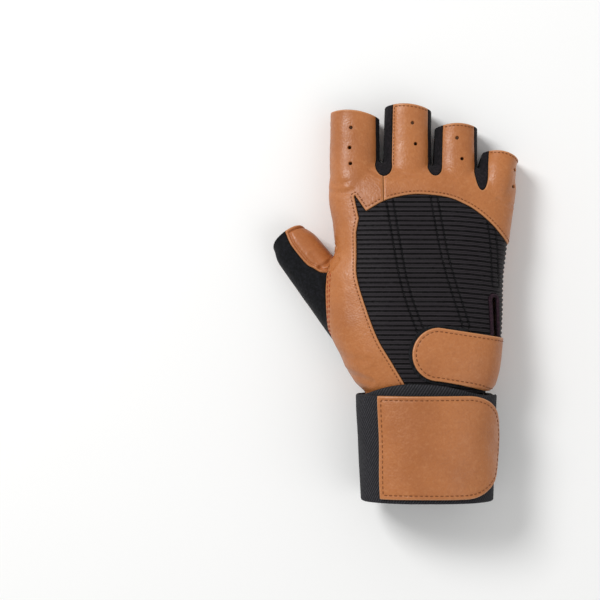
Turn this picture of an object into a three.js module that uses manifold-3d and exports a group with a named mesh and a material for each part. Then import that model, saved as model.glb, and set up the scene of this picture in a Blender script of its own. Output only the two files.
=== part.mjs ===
// Half-finger weightlifting glove for the right hand, lying on its palm with the fingers towards +Y.
// Leather palm, finger fronts and knuckle yoke, ribbed stretch back, stretch gussets between the
// fingers, a hook-and-loop closure tab and a long elastic wrist wrap that ends in a leather tab.
// Lengths are millimetres, +X is the little-finger side, +Z is up and z = 0 is the table.

import * as THREE from "three";
import { mergeVertices } from "three/addons/utils/BufferGeometryUtils.js";
import Module from "manifold-3d";

const wasm = await Module();
wasm.setup();

// The hand: widths across, depths from palm to back, lengths along the fingers.
const PALM_WIDTH = 103;
const PALM_DEPTH = 46;
const PALM_LENGTH = 125; // from the wrap's upper edge to the crotch of index and middle finger
const WRIST_WIDTH = 65.2;
const WRIST_DEPTH = 41;
const WRIST_TUCK = 18; // how far the hand shell reaches down inside the wrap
const WRIST_BLEND = 0.15; // share of PALM_LENGTH over which the wrist's section turns into the palm's
const FINGER_LENGTH = 33; // middle finger, from its crotch to its hem
const FINGER_DEPTH = 26.5;
const HEM_DIP = 2; // how much lower a finger hem is at the finger's sides
const THUMB_LENGTH = 0.6 * PALM_LENGTH; // from the hem back to its foot at the heel of the hand
const THUMB_WIDTH = 27.2;
const THUMB_DEPTH = 25;
const THUMB_ANGLE = 37.3; // degrees outwards from the fingers
const FLOOR_FLAT = 0.6; // how far the wrist is pressed flat on the table

// Materials and the clearances between sewn pieces.
const LEATHER = 2;
const SEAM_GAP = 0.4;
const FIT_GAP = 0.3;

// Gussets between the fingers.
const GUSSET_SHOW_RIGHT = 2.2; // width that shows on a finger's little-finger side, from the back or palm
const GUSSET_SHOW_LEFT = 4.2; // and on the next finger's index side
const GUSSET_DROP = 7; // from the crotch down to the gusset's rounded end on the back
const GUSSET_DROP_PALM = 11;

// Vent slit on the little-finger side, with its binding.
const SLIT_WIDTH = 3;
const SLIT_LENGTH = 43;
const SLIT_START = 8; // above the wrap
const SLIT_HEIGHT = 31;
const SLIT_TILT = 30; // degrees that the slit faces upwards
const SLIT_DEPTH = 0.6; // share of half PALM_WIDTH past which a cut along the slit's facing is open
const BINDING_WIDTH = 1.9;
const BINDING_PROUD = 0.5;

// Closure tab over the back of the hand, and the loop patch under it.
const TAB_THICK = 2;
const TAB_HEIGHT = 28.5;
const TAB_REACH = 47; // from the hand's outline to the tab's round end
const TAB_LIFT = 7.5; // lower edge above the wrap, at the round end
const TAB_ROOT_LIFT = 0.8; // lower edge above the wrap, at the hand's outline
const TAB_TAPER = 0.95; // how much the upper edge falls for each millimetre that the lower edge falls
const PATCH_THICK = 0.8;
const PATCH_BORDER = 1.8;
const PATCH_LENGTH = 30;

// Wrist wrap: an elastic band wound round the wrist, and its leather tab.
const WRAP_HEIGHT = 57.5;
const WRAP_THICK = 1.8;
const WRAP_TURNS = 2;
const WRAP_FLARE = 2.4; // how much further out each side is at the top than at the bottom
const WRAP_SKEW = 6.2; // how far the inner turn stands above the outer one at the back
const WRAP_SKEW_AT = 100; // degrees above the little-finger side where it stands highest
const WRAP_SKEW_SPAN = 0.2; // turns on either side over which it falls back
const WRAP_END = 10; // degrees above the little-finger side where the band ends
const WRAP_TAB_START = 131; // degrees, same measure
const WRAP_TAB_MARGIN = 2.4;
const WRAP_TAB_CORNER = 26;

const RING_POINTS = 36; // round the palm and the wrist
const FINGER_POINTS = 20;
const THUMB_POINTS = 24;
const FAR = 400; // longer than the glove, for cutters
const CUT_TOLERANCE = 0.03; // how far a cut face may move when its needle-thin triangles are merged
const CUTTER_LAP = 0.1; // how far two cutters that act as one reach into each other
const SNAP = 0.008; // grid that the corners of every finished piece lie on

// Squareness of each cross-section: 2 is an ellipse, more is boxier.
const PALM_SQUARE = 2.6;
const WRIST_SQUARE = 2.3;
const FINGER_SQUARE = 2.3;

const rad = THREE.MathUtils.degToRad;
const wrapPitch = WRAP_THICK + FIT_GAP;
// The band lies this far outside the wrist after so many turns.
const wrapOffset = (turns) => FIT_GAP + wrapPitch * turns;
const turnsAt = (degrees) => WRAP_TURNS - (degrees - WRAP_END) / 360;
const wristBase = wrapOffset(turnsAt(270)) + WRAP_THICK;
const wristCentreZ = wristBase + WRIST_DEPTH / 2 - FLOOR_FLAT;
const crotchY = WRAP_HEIGHT + PALM_LENGTH;

// Sections of the hand from wrist to knuckles. v is the share of PALM_LENGTH above the wrap. left and
// right are shares of half PALM_WIDTH, low and high of PALM_DEPTH; rake moves a section's index side
// up and its little-finger side down, as a share of PALM_LENGTH.
const PALM_SECTIONS = [
  { v: 0.048, left: -0.735, right: 0.735, low: 0.045, high: 0.996, rake: 0 },
  { v: 0.152, left: -0.883, right: 0.79, low: -0.02, high: 1.0, rake: 0 },
  { v: 0.336, left: -1.055, right: 0.83, low: -0.045, high: 0.96, rake: 0 },
  { v: 0.496, left: -1.065, right: 0.841, low: -0.045, high: 0.915, rake: 0 },
  { v: 0.624, left: -0.96, right: 0.875, low: -0.045, high: 0.87, rake: 0 },
  { v: 0.736, left: -0.978, right: 0.918, low: -0.045, high: 0.82, rake: 0 },
  { v: 0.856, left: -1.025, right: 0.961, low: -0.045, high: 0.745, rake: 0.006 },
  { v: 0.912, left: -1.02, right: 0.975, low: -0.03, high: 0.7, rake: 0.012 },
  { v: 0.96, left: -0.99, right: 0.955, low: 0.03, high: 0.62, rake: 0.018 },
  { v: 0.995, left: -0.93, right: 0.91, low: 0.17, high: 0.5, rake: 0.024 },
];

// Fingers: root, base and tip are the centre line inside the hand, at the crotch and at the hem, as
// shares of half PALM_WIDTH. wide and slim are the half width at the crotch and at the hem, as the same
// shares, reach is the length as a share of FINGER_LENGTH, and lean how much lower the hem is on the
// little-finger side, as a share of the finger's half width.
const FINGERS = [
  { name: "index", root: -0.7, base: -0.744, tip: -0.74, wide: 0.268, slim: 0.262, reach: 0.89, lean: 0.13 },
  { name: "middle", root: -0.18, base: -0.183, tip: -0.171, wide: 0.258, slim: 0.248, reach: 1, lean: 0.09 },
  { name: "ring", root: 0.31, base: 0.328, tip: 0.34, wide: 0.238, slim: 0.226, reach: 0.68, lean: 0 },
  { name: "little", root: 0.69, base: 0.776, tip: 0.825, wide: 0.2, slim: 0.196, reach: 0.22, lean: 0.17 },
];
// Heights of a finger along its length: at is in crotch-to-hem lengths, low and high are shares of
// FINGER_DEPTH.
const FINGER_HEIGHTS = [
  { at: -1.0, low: 0.02, high: 1.13 },
  { at: -0.35, low: -0.03, high: 1.12 },
  { at: 0.0, low: -0.035, high: 1.04 },
  { at: 0.5, low: -0.03, high: 0.97 },
  { at: 1.0, low: 0.0, high: 0.93 },
];
const FINGER_ROOT = 22; // how far a finger's tube reaches back inside the hand

// How much deeper the gusset's end sits between each two fingers, as a share of its drop.
const GUSSET_DEPTHS = [1, 1, 2.1];

// Sections of the thumb. at is the share of THUMB_LENGTH from the hem back to the heel of the hand;
// wide is a share of THUMB_WIDTH, low and high of THUMB_DEPTH.
const THUMB_SECTIONS = [
  { at: 0.0, wide: 0.76, low: 0.09, high: 0.83 },
  { at: 0.1, wide: 0.95, low: 0.05, high: 0.93 },
  { at: 0.3, wide: 1.0, low: 0.0, high: 1.02 },
  { at: 0.55, wide: 1.05, low: -0.03, high: 1.1 },
  { at: 0.8, wide: 1.1, low: -0.03, high: 1.18 },
  { at: 1.0, wide: 1.0, low: 0.0, high: 1.2 },
];
const THUMB_TIP_U = -1.45; // where the hem's centre lies, as a share of half PALM_WIDTH
const THUMB_TIP_V = 0.68; // and as a share of PALM_LENGTH
const THUMB_HEM_RAKE = 4; // how much further the hem reaches on the back than on the palm
const THUMB_PAST_HEM = 0.14; // how far the hollow's solid runs past the hem, as a share of THUMB_LENGTH
const THUMB_CROTCH = [-0.96, 0.63]; // where the leather front meets the index side, as u and v below
const THUMB_WEB = [-1.12, 0.85]; // a place past the web between thumb and index finger

// Seams, as places on the hand: u is the share of the local half width from its middle, v the share
// of PALM_LENGTH above the wrap.
const BACK_OPENING = [
  [-0.623, 0.79],
  [-0.42, 0.834],
  [-0.229, 0.856],
  [-0.034, 0.863],
  [0.239, 0.851],
  [0.42, 0.824],
  [0.584, 0.786],
  [0.797, 0.718],
  [1.1, 0.6],
  [1.241, 0.3],
  [1.25, -0.2],
  [0.1, -0.2],
  [-0.26, -0.005],
  [-0.403, 0.14],
  [-0.48, 0.244],
  [-0.571, 0.39],
  [-0.653, 0.507],
  [-0.742, 0.6],
  [-0.75, 0.7],
  [-0.71, 0.76],
  [-0.735, 0.867],
];
const INDEX_SEAM_U = -0.43;
const STRIP_TOP_V = 0.7; // below this the leather left of the ribbed back is all one strip
const FINGER_SEAMS = [
  { from: [-1.2, 0.86], to: [-0.44, 0.955] },
  { from: [-0.52, 0.94], to: [0.16, 0.915] },
  { from: [0.1, 0.93], to: [0.7, 0.91] },
  { from: [0.6, 0.885], to: [1.3, 0.86] },
];
const PALM_ARC = [
  [-1.297, 0.73],
  [-0.983, 0.752],
  [-0.746, 0.779],
  [-0.379, 0.797],
  [-0.103, 0.796],
  [0.266, 0.776],
  [0.552, 0.75],
  [0.822, 0.717],
  [1.301, 0.66],
];
const OUTER_THENAR = [
  [-1.305, 0.66],
  [-1.001, 0.663],
  [-0.778, 0.666],
  [-0.488, 0.655],
  [-0.193, 0.615],
  [0.062, 0.568],
  [0.262, 0.509],
  [0.377, 0.444],
  [0.479, 0.363],
  [0.505, 0.295],
  [0.485, 0.03],
];
const INNER_THENAR = [
  [-0.983, 0.61],
  [-0.783, 0.612],
  [-0.578, 0.598],
  [-0.358, 0.553],
  [-0.176, 0.48],
  [-0.094, 0.41],
  [-0.065, 0.343],
  [-0.085, 0.27],
  [-0.199, 0.197],
];
const HEEL_SEAM = [
  [-0.199, 0.197],
  [0.055, 0.132],
  [0.481, 0.063],
  [1.3, 0],
];
const THUMB_FOOT = [
  [-0.199, 0.197],
  [-0.412, 0.14],
  [-0.694, 0.112],
  [-1.005, 0.135],
  [-1.498, 0.155],
];
const THUMB_FRONT_CORNER = [-0.835, 0.56];
const THUMB_FRONT_SEAM = [
  [-0.911, 0.474],
  [-0.752, 0.4],
  [-0.531, 0.302],
  [-0.199, 0.197],
];
// Edge of the thumb's stretch back, from the hem down to its foot, on the back and on the palm side.
const THUMB_STRETCH_CORNER = [-0.98, 0.524];
const THUMB_STRETCH_EDGE = [
  [-1.614, 0.84],
  [-1.548, 0.702],
  [-1.498, 0.644],
  [-1.282, 0.566],
  [-1.168, 0.545],
  [-1.062, 0.526],
  THUMB_STRETCH_CORNER,
  [-0.989, 0.46],
  [-0.987, 0.398],
  [-0.988, 0.273],
  [-1.0, 0.211],
  [-1.01, 0.155],
];
const THUMB_STRETCH_EDGE_PALM = [
  [-1.737, 0.716],
  [-1.557, 0.589],
  [-1.282, 0.49],
  [-1.068, 0.368],
  [-0.867, 0.262],
  [-0.735, 0.185],
];
const OUTSIDE_U = -2.6;

// Smooth curve through a table's rows that never overshoots them: the value of a column at x.
function column(rows, key, along, x) {
  const xs = rows.map((row) => row[along]);
  const ys = rows.map((row) => row[key]);
  const slope = xs.slice(1).map((next, i) => (ys[i + 1] - ys[i]) / (next - xs[i]));
  const tangent = ys.map((_, i) => {
    if (i === 0 || i === ys.length - 1 || slope[i - 1] * slope[i] <= 0) return 0;
    return (2 * slope[i - 1] * slope[i]) / (slope[i - 1] + slope[i]);
  });
  const last = xs.length - 1;
  if (x <= xs[0]) return ys[0];
  if (x >= xs[last]) return ys[last];
  const i = xs.findIndex((start, n) => x >= start && x <= xs[n + 1]);
  const h = xs[i + 1] - xs[i];
  const t = (x - xs[i]) / h;
  const rise = ys[i + 1] - ys[i];
  const cubic = tangent[i] + tangent[i + 1] - (2 * rise) / h;
  const square = (3 * rise) / h - 2 * tangent[i] - tangent[i + 1];
  return ys[i] + h * t * (tangent[i] + t * (square + t * cubic));
}

// How much further out each side of the wrist is at a height along the wrap than at its upper edge.
const flare = (y) => WRAP_FLARE * (y / WRAP_HEIGHT - 1);

// The palm's rows in millimetres, with the wrist's rows, which follow the wrap, below them.
const wristRow = (y) => ({
  y,
  left: -WRIST_WIDTH / 2 - flare(y),
  right: WRIST_WIDTH / 2 + flare(y),
  low: wristBase,
  high: wristCentreZ + WRIST_DEPTH / 2,
  rake: 0,
});
const handRows = [
  wristRow(WRAP_HEIGHT - WRIST_TUCK),
  wristRow(WRAP_HEIGHT + 2 * FIT_GAP),
  ...PALM_SECTIONS.map((row) => ({
    y: WRAP_HEIGHT + row.v * PALM_LENGTH,
    left: (row.left * PALM_WIDTH) / 2,
    right: (row.right * PALM_WIDTH) / 2,
    low: row.low * PALM_DEPTH,
    high: row.high * PALM_DEPTH,
    rake: row.rake * PALM_LENGTH,
  })),
];
const handAt = (key, y) => column(handRows, key, "y", y);

// A place on the hand, from its shares, in millimetres across and along.
function place([u, v]) {
  const y = WRAP_HEIGHT + v * PALM_LENGTH;
  const left = handAt("left", y);
  const right = handAt("right", y);
  return new THREE.Vector2((left + right) / 2 + (u * (right - left)) / 2, y);
}

// A closed solid through rings of equal point count, capped at its first and last ring.
function loft(rings) {
  const count = rings[0].length;
  const points = rings.flat();
  const triangles = [];
  for (let r = 0; r + 1 < rings.length; r++) {
    for (let i = 0; i < count; i++) {
      const a = r * count + i;
      const b = r * count + ((i + 1) % count);
      triangles.push(a, b, b + count, a, b + count, a + count);
    }
  }
  const cap = (start, turn) => {
    const centre = new THREE.Vector3();
    for (let i = 0; i < count; i++) centre.addScaledVector(points[start + i], 1 / count);
    const hub = points.push(centre) - 1;
    for (let i = 0; i < count; i++) {
      const next = start + ((i + 1) % count);
      triangles.push(hub, ...(turn ? [next, start + i] : [start + i, next]));
    }
  };
  cap(0, true);
  cap((rings.length - 1) * count, false);
  return solid(points, triangles);
}

// A manifold-3d solid from points and triangles; a loft that ran the other way is turned round.
function solid(points, triangles) {
  const make = (order) =>
    new wasm.Manifold(
      new wasm.Mesh({
        numProp: 3,
        vertProperties: new Float32Array(points.flatMap((p) => p.toArray())),
        triVerts: new Uint32Array(order),
      }),
    );
  const made = make(triangles);
  if (made.volume() > 0) return made;
  const turned = [];
  for (let i = 0; i < triangles.length; i += 3) {
    turned.push(triangles[i], triangles[i + 2], triangles[i + 1]);
  }
  return make(turned);
}

// A three.js geometry as a manifold-3d solid.
function solidOf(geometry) {
  const bare = geometry.index ? geometry.toNonIndexed() : geometry.clone();
  bare.deleteAttribute("normal");
  bare.deleteAttribute("uv");
  const merged = mergeVertices(bare, 1e-4);
  const points = [];
  for (let i = 0; i < merged.attributes.position.count; i++) {
    points.push(new THREE.Vector3().fromBufferAttribute(merged.attributes.position, i));
  }
  return solid(points, Array.from(merged.index.array));
}

// A superellipse ring. side and up are the directions of its axes, along the way the tube runs; rake
// tips the ring along the tube, dip lowers its sides and tilt moves its top ahead of its bottom.
function ring({ centre, side, along, half, depth, square, points, floor, rake = 0, dip = 0, tilt = 0 }) {
  const made = [];
  for (let i = 0; i < points; i++) {
    const angle = ((i + 0.5) / points) * 2 * Math.PI;
    const power = (value) => Math.sign(value) * Math.abs(value) ** (2 / square);
    const across = power(Math.cos(angle));
    const over = power(Math.sin(angle));
    const point = centre
      .clone()
      .addScaledVector(side, half * across)
      .addScaledVector(along, tilt * over - rake * across - dip * across * across);
    point.z = Math.max(centre.z + depth * over, floor);
    made.push(point);
  }
  return made;
}

const ACROSS = new THREE.Vector3(1, 0, 0);
const ALONG = new THREE.Vector3(0, 1, 0);

// The hand's tube from the wrist to the knuckles, moved inwards by inset.
function palmTube(inset) {
  const steps = [0, 0.5, 1];
  const stations = handRows.slice(0, -1).flatMap((row, i) => {
    const next = handRows[i + 1];
    const few = i === 0 ? 1 : 2;
    return steps.slice(0, few).map((t) => row.y + (next.y - row.y) * (few === 1 ? 0 : t));
  });
  stations.push(handRows[handRows.length - 1].y);
  const start = stations[0];
  if (inset > 0) stations[0] = start - 2 * LEATHER;
  if (inset > 0) stations[stations.length - 1] -= inset;
  const blend = (y) => THREE.MathUtils.clamp((y - WRAP_HEIGHT) / (WRIST_BLEND * PALM_LENGTH), 0, 1);
  return loft(
    stations.map((y) => {
      const [left, right, low, high, rake] = ["left", "right", "low", "high", "rake"].map((key) =>
        handAt(key, y),
      );
      const wrist = 1 - blend(y);
      const base = wristBase * wrist;
      return ring({
        centre: new THREE.Vector3((left + right) / 2, y, (low - FLOOR_FLAT * wrist + high) / 2),
        side: ACROSS,
        along: ALONG,
        half: (right - left) / 2 - inset,
        depth: (high - low + FLOOR_FLAT * wrist) / 2 - inset,
        square: PALM_SQUARE + (WRIST_SQUARE - PALM_SQUARE) * wrist,
        points: RING_POINTS,
        floor: base + inset,
        rake,
      });
    }),
  );
}

const acrossHand = (share) => (share * PALM_WIDTH) / 2;
const pastFingers = crotchY + FINGER_LENGTH + FAR / 8;

// One finger's tube, from inside the hand to its hem; an inset tube runs out past the hem.
function fingerTube(finger, inset) {
  const reach = finger.reach * FINGER_LENGTH;
  const stations = [-FINGER_ROOT, -0.35 * FINGER_ROOT, 0, 0.5 * reach, reach];
  if (inset > 0) stations.push(reach + 2 * LEATHER + 2 * HEM_DIP);
  return loft(
    stations.map((ahead) => {
      const share = ahead < 0 ? ahead / FINGER_ROOT : ahead / reach;
      const t = THREE.MathUtils.clamp(share, 0, 1);
      const low = column(FINGER_HEIGHTS, "low", "at", share) * FINGER_DEPTH;
      const high = column(FINGER_HEIGHTS, "high", "at", share) * FINGER_DEPTH;
      const inward = THREE.MathUtils.clamp(-share, 0, 1) ** 2;
      const half = acrossHand(THREE.MathUtils.lerp(finger.wide, finger.slim, t));
      const start = THREE.MathUtils.lerp(finger.base, finger.root, inward);
      return ring({
        centre: new THREE.Vector3(
          acrossHand(THREE.MathUtils.lerp(start, finger.tip, t)),
          crotchY + ahead,
          (low + high) / 2,
        ),
        side: ACROSS,
        along: ALONG,
        half: half - inset,
        depth: (high - low) / 2 - inset,
        square: FINGER_SQUARE,
        points: FINGER_POINTS,
        floor: inset,
        rake: finger.lean * half * t,
        dip: HEM_DIP * t,
      });
    }),
  );
}

const thumbAlong = new THREE.Vector3(-Math.sin(rad(THUMB_ANGLE)), Math.cos(rad(THUMB_ANGLE)), 0);
const thumbSide = new THREE.Vector3(Math.cos(rad(THUMB_ANGLE)), Math.sin(rad(THUMB_ANGLE)), 0);
const thumbTip = new THREE.Vector3(
  (THUMB_TIP_U * PALM_WIDTH) / 2,
  WRAP_HEIGHT + THUMB_TIP_V * PALM_LENGTH,
  0,
);
const thumbMiddle = 0.5 * THUMB_DEPTH;

// The thumb's tube, from the heel of the hand out to its slanted hem.
function thumbTube(inset) {
  const past = { ...THUMB_SECTIONS[0], at: -THUMB_PAST_HEM };
  const rows = inset > 0 ? [past, ...THUMB_SECTIONS] : THUMB_SECTIONS;
  return loft(
    rows.map((row) => {
      const half = (row.wide * THUMB_WIDTH) / 2;
      const depth = ((row.high - row.low) * THUMB_DEPTH) / 2;
      const centre = thumbTip.clone().addScaledVector(thumbAlong, -row.at * THUMB_LENGTH);
      centre.z = ((row.low + row.high) * THUMB_DEPTH) / 2;
      return ring({
        centre,
        side: thumbSide,
        along: thumbAlong,
        half: half - inset,
        depth: depth - inset,
        square: FINGER_SQUARE,
        points: THUMB_POINTS,
        floor: inset,
        tilt: THUMB_HEM_RAKE * Math.max(0, 1 - Math.max(row.at, 0) * 4),
      });
    }),
  );
}

// The whole hand as one solid, moved inwards by inset or outwards where inset is negative.
function hand(inset) {
  return FINGERS.reduce(
    (all, finger) => all.add(fingerTube(finger, inset)),
    palmTube(inset).add(thumbTube(inset)),
  );
}

// An outline in the XY plane, moved outwards by grow along its own normals.
function grown(outline, grow) {
  const area = THREE.ShapeUtils.area(outline);
  const turn = area > 0 ? 1 : -1;
  return outline.map((point, i) => {
    const before = outline[(i + outline.length - 1) % outline.length];
    const after = outline[(i + 1) % outline.length];
    const first = point.clone().sub(before).normalize();
    const second = after.clone().sub(point).normalize();
    const normal = new THREE.Vector2(first.y + second.y, -first.x - second.x);
    const spread = Math.max(normal.length() / 2, 0.5);
    return point.clone().addScaledVector(normal.normalize(), (turn * grow) / spread);
  });
}

// An upright prism over an outline, between two heights.
function prism(outline, low, high) {
  const geometry = new THREE.ExtrudeGeometry(new THREE.Shape(outline), {
    depth: high - low,
    bevelEnabled: false,
  });
  return solidOf(geometry.translate(0, 0, low));
}

// A smooth open curve through a table of places, as points along it.
function curve(places, steps = 3) {
  const through = new THREE.SplineCurve(places.map(place));
  return through.getPoints((places.length - 1) * steps);
}

// Takes the part of a shell that lies over an outline. What is left keeps a seam gap to it.
function inlay(shell, outline, low = -FAR, high = FAR) {
  const taken = shell.intersect(prism(grown(outline, -SEAM_GAP / 2), low, high));
  const rest = shell.subtract(prism(grown(outline, SEAM_GAP / 2), low, high));
  return [taken, rest];
}

// A solid whose corners are moved to the nearest point of a fine grid, so that no two of them are
// closer than that; triangles that lose their area this way are dropped.
function snapped(made) {
  const { numProp, vertProperties, triVerts } = made.getMesh();
  const places = new Map();
  const points = [];
  const number = (vertex) => {
    const start = vertex * numProp;
    const point = [0, 1, 2].map((axis) => Math.round(vertProperties[start + axis] / SNAP));
    const key = point.join(" ");
    if (!places.has(key)) {
      places.set(key, points.push(new THREE.Vector3(...point).multiplyScalar(SNAP)) - 1);
    }
    return places.get(key);
  };
  const triangles = [];
  for (let i = 0; i < triVerts.length; i += 3) {
    const [a, b, c] = [0, 1, 2].map((corner) => number(triVerts[i + corner]));
    if (a !== b && b !== c && c !== a) triangles.push(a, b, c);
  }
  return solid(points, triangles);
}

// The one body of a solid that holds most of it, without the specks and the needle-thin triangles
// that cuts leave behind.
function mainBody(made) {
  const bodies = snapped(made.asOriginal().simplify(CUT_TOLERANCE)).decompose();
  return bodies.reduce((best, body) => (body.volume() > best.volume() ? body : best));
}

const glove = new THREE.Group();

const MATERIALS = {
  leather: new THREE.MeshStandardMaterial({ color: 0xc07a48, roughness: 0.5, metalness: 0 }),
  ribbed: new THREE.MeshStandardMaterial({ color: 0x1d1b1e, roughness: 0.75, metalness: 0 }),
  stretch: new THREE.MeshStandardMaterial({ color: 0x17181c, roughness: 0.9, metalness: 0 }),
  elastic: new THREE.MeshStandardMaterial({ color: 0x2b2d30, roughness: 0.85, metalness: 0 }),
  binding: new THREE.MeshStandardMaterial({ color: 0x271a22, roughness: 0.8, metalness: 0 }),
};

function addNode(name, made, material) {
  const { numProp, vertProperties, triVerts } = mainBody(made).getMesh();
  const positions = new Float32Array((vertProperties.length / numProp) * 3);
  for (let i = 0; i * numProp < vertProperties.length; i++) {
    positions.set(vertProperties.subarray(i * numProp, i * numProp + 3), i * 3);
  }
  const geometry = new THREE.BufferGeometry();
  geometry.setAttribute("position", new THREE.BufferAttribute(positions, 3));
  geometry.setIndex(new THREE.BufferAttribute(new Uint32Array(triVerts), 1));
  geometry.computeVertexNormals();
  const mesh = new THREE.Mesh(geometry, MATERIALS[material]);
  mesh.name = name;
  glove.add(mesh);
}

// The region between two fingers that the gusset fills, open towards the fingertips.
function gussetOutline(left, right, drop) {
  const leftEdge = (centre, half) => acrossHand(centre + half) - GUSSET_SHOW_RIGHT;
  const rightEdge = (centre, half) => acrossHand(centre - half) + GUSSET_SHOW_LEFT;
  const leftLow = leftEdge(left.base, left.wide);
  const rightLow = rightEdge(right.base, right.wide);
  const leftTop = leftEdge(left.tip, left.slim);
  const rightTop = rightEdge(right.tip, right.slim);
  const middle = (leftLow + rightLow) / 2;
  const half = (rightLow - leftLow) / 2;
  const outline = [new THREE.Vector2(leftTop, pastFingers)];
  const steps = 8;
  for (let i = 0; i <= steps; i++) {
    const angle = (i / steps) * Math.PI;
    outline.push(
      new THREE.Vector2(middle - half * Math.cos(angle), crotchY - drop * Math.sin(angle)),
    );
  }
  outline[1].y += FIT_GAP;
  outline.push(new THREE.Vector2(rightTop, pastFingers));
  return outline;
}

// The height of the side seam that parts back from palm, along the glove.
function sideSeamHeight(y) {
  if (y <= crotchY) return (handAt("low", y) + handAt("high", y)) / 2;
  return (FINGER_HEIGHTS[2].low + FINGER_HEIGHTS[2].high) * 0.5 * FINGER_DEPTH;
}

// Everything above (or below) the side seam, as a prism that runs across the glove.
function sideSeamCutter(above, gap) {
  const start = WRAP_HEIGHT - WRIST_TUCK - FAR / 8;
  const end = pastFingers;
  const steps = 12;
  const line = [];
  for (let i = 0; i <= steps; i++) {
    const y = start + ((end - start) * i) / steps;
    line.push(new THREE.Vector2(y, sideSeamHeight(y) + (above ? gap / 2 : -gap / 2)));
  }
  const far = above ? FAR / 2 : -FAR / 2;
  line.push(new THREE.Vector2(end, far), new THREE.Vector2(start, far));
  const geometry = new THREE.ExtrudeGeometry(new THREE.Shape(line), {
    depth: FAR,
    bevelEnabled: false,
  });
  // The shape's x runs along the glove and its y is height, so it is turned to stand across.
  const turn = new THREE.Matrix4().makeBasis(ALONG, new THREE.Vector3(0, 0, 1), ACROSS);
  return solidOf(geometry.translate(0, 0, -FAR / 2).applyMatrix4(turn));
}

// A prism that faces the vent slit: across is the distance up the hand's side from the slit's middle.
function slitCutter(width, end, thick = FAR / 4) {
  const low = WRAP_HEIGHT + SLIT_START;
  const high = low + SLIT_LENGTH;
  const outline = [new THREE.Vector2(low, -width / 2), new THREE.Vector2(high, -width / 2)];
  const steps = 6;
  for (let i = 1; i < steps; i++) {
    const angle = (i / steps) * Math.PI - Math.PI / 2;
    outline.push(
      new THREE.Vector2(high + (end + width / 2) * Math.cos(angle), (width / 2) * Math.sin(angle)),
    );
  }
  outline.push(new THREE.Vector2(high, width / 2), new THREE.Vector2(low, width / 2));
  const geometry = new THREE.ExtrudeGeometry(new THREE.Shape(outline), {
    depth: thick,
    bevelEnabled: false,
  });
  const facing = new THREE.Vector3(Math.cos(rad(SLIT_TILT)), 0, Math.sin(rad(SLIT_TILT)));
  const upward = new THREE.Vector3(-facing.z, 0, facing.x);
  const turn = new THREE.Matrix4().makeBasis(ALONG, upward, facing);
  const origin = new THREE.Vector3(acrossHand(SLIT_DEPTH), 0, SLIT_HEIGHT);
  origin.addScaledVector(facing, -thick / 8);
  return solidOf(geometry.applyMatrix4(turn).translate(origin.x, 0, origin.z));
}

// A band wound round the wrist. low and high give its edges at each number of turns.
function woundBand({ from, to, rings, low, high, lift = 0, thick }) {
  const power = (value) => Math.sign(value) * Math.abs(value) ** (2 / WRIST_SQUARE);
  const corner = (turns, y, offset) => {
    const angle = rad(WRAP_END) + 2 * Math.PI * (WRAP_TURNS - turns);
    const z = wristCentreZ + (WRIST_DEPTH / 2 + offset) * power(Math.sin(angle));
    return new THREE.Vector3(
      (WRIST_WIDTH / 2 + offset + flare(y)) * power(Math.cos(angle)),
      y,
      Math.max(z, wristBase - offset, 0),
    );
  };
  const made = [];
  for (let i = 0; i <= rings; i++) {
    const turns = from + ((to - from) * i) / rings;
    const inner = wrapOffset(turns) + lift;
    made.push([
      corner(turns, low(turns), inner),
      corner(turns, high(turns), inner),
      corner(turns, high(turns), inner + thick),
      corner(turns, low(turns), inner + thick),
    ]);
  }
  return loft(made);
}

let shell = hand(0).subtract(hand(LEATHER));
let piece;

// Gussets: one U of stretch cloth between each two fingers, deeper on the palm side.
const upper = sideSeamCutter(true, -CUTTER_LAP);
const lower = sideSeamCutter(false, -CUTTER_LAP);
FINGERS.slice(0, -1).forEach((left, i) => {
  const right = FINGERS[i + 1];
  const deep = GUSSET_DEPTHS[i];
  const back = gussetOutline(left, right, GUSSET_DROP * deep);
  const front = gussetOutline(left, right, Math.max(GUSSET_DROP_PALM, GUSSET_DROP * deep));
  const region = (grow) =>
    prism(grown(back, grow), -FAR, FAR)
      .intersect(upper)
      .add(prism(grown(front, grow), -FAR, FAR).intersect(lower));
  piece = shell.intersect(region(-SEAM_GAP / 2));
  shell = shell.subtract(region(SEAM_GAP / 2));
  addNode(`gusset_${left.name}_${right.name}`, piece, "stretch");
});

// Thumb: a stretch back that wraps round the outer side, and a leather front.
const outside = (v) => place([OUTSIDE_U, v]);
const stretchBack = [...THUMB_STRETCH_EDGE.map(place), outside(-0.1), outside(0.9)];
const stretchFoot = [...THUMB_FOOT.slice(2).map(place), outside(0.155)];
const stretchFront = [...THUMB_STRETCH_EDGE_PALM.map(place), ...stretchFoot, outside(0.75)];
const thumbStretch = (grow) =>
  prism(grown(stretchBack, grow), thumbMiddle, FAR).add(
    prism(grown(stretchFront, grow), -FAR, thumbMiddle + CUTTER_LAP),
  );
piece = shell.intersect(thumbStretch(-SEAM_GAP / 2));
shell = shell.subtract(thumbStretch(SEAM_GAP / 2));
addNode("thumb_stretch_back", piece, "stretch");

const thumbWeb = [place(THUMB_CROTCH), place(THUMB_WEB)];
const thumbInner = [place(THUMB_STRETCH_CORNER), ...thumbWeb, outside(0.85), outside(0.5)];
const thumbFront = [
  ...curve(THUMB_FRONT_SEAM),
  ...THUMB_FOOT.slice(1).map(place),
  outside(0.155),
  outside(0.85),
  ...thumbWeb.reverse(),
  place(THUMB_FRONT_CORNER),
];
const thumbLeather = (grow) =>
  prism(grown(thumbInner, grow), thumbMiddle, FAR).add(
    prism(grown(thumbFront, grow), -FAR, thumbMiddle + CUTTER_LAP),
  );
piece = shell.intersect(thumbLeather(-SEAM_GAP / 2));
shell = shell.subtract(thumbLeather(SEAM_GAP / 2));
addNode("thumb_leather", piece, "leather");

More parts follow.
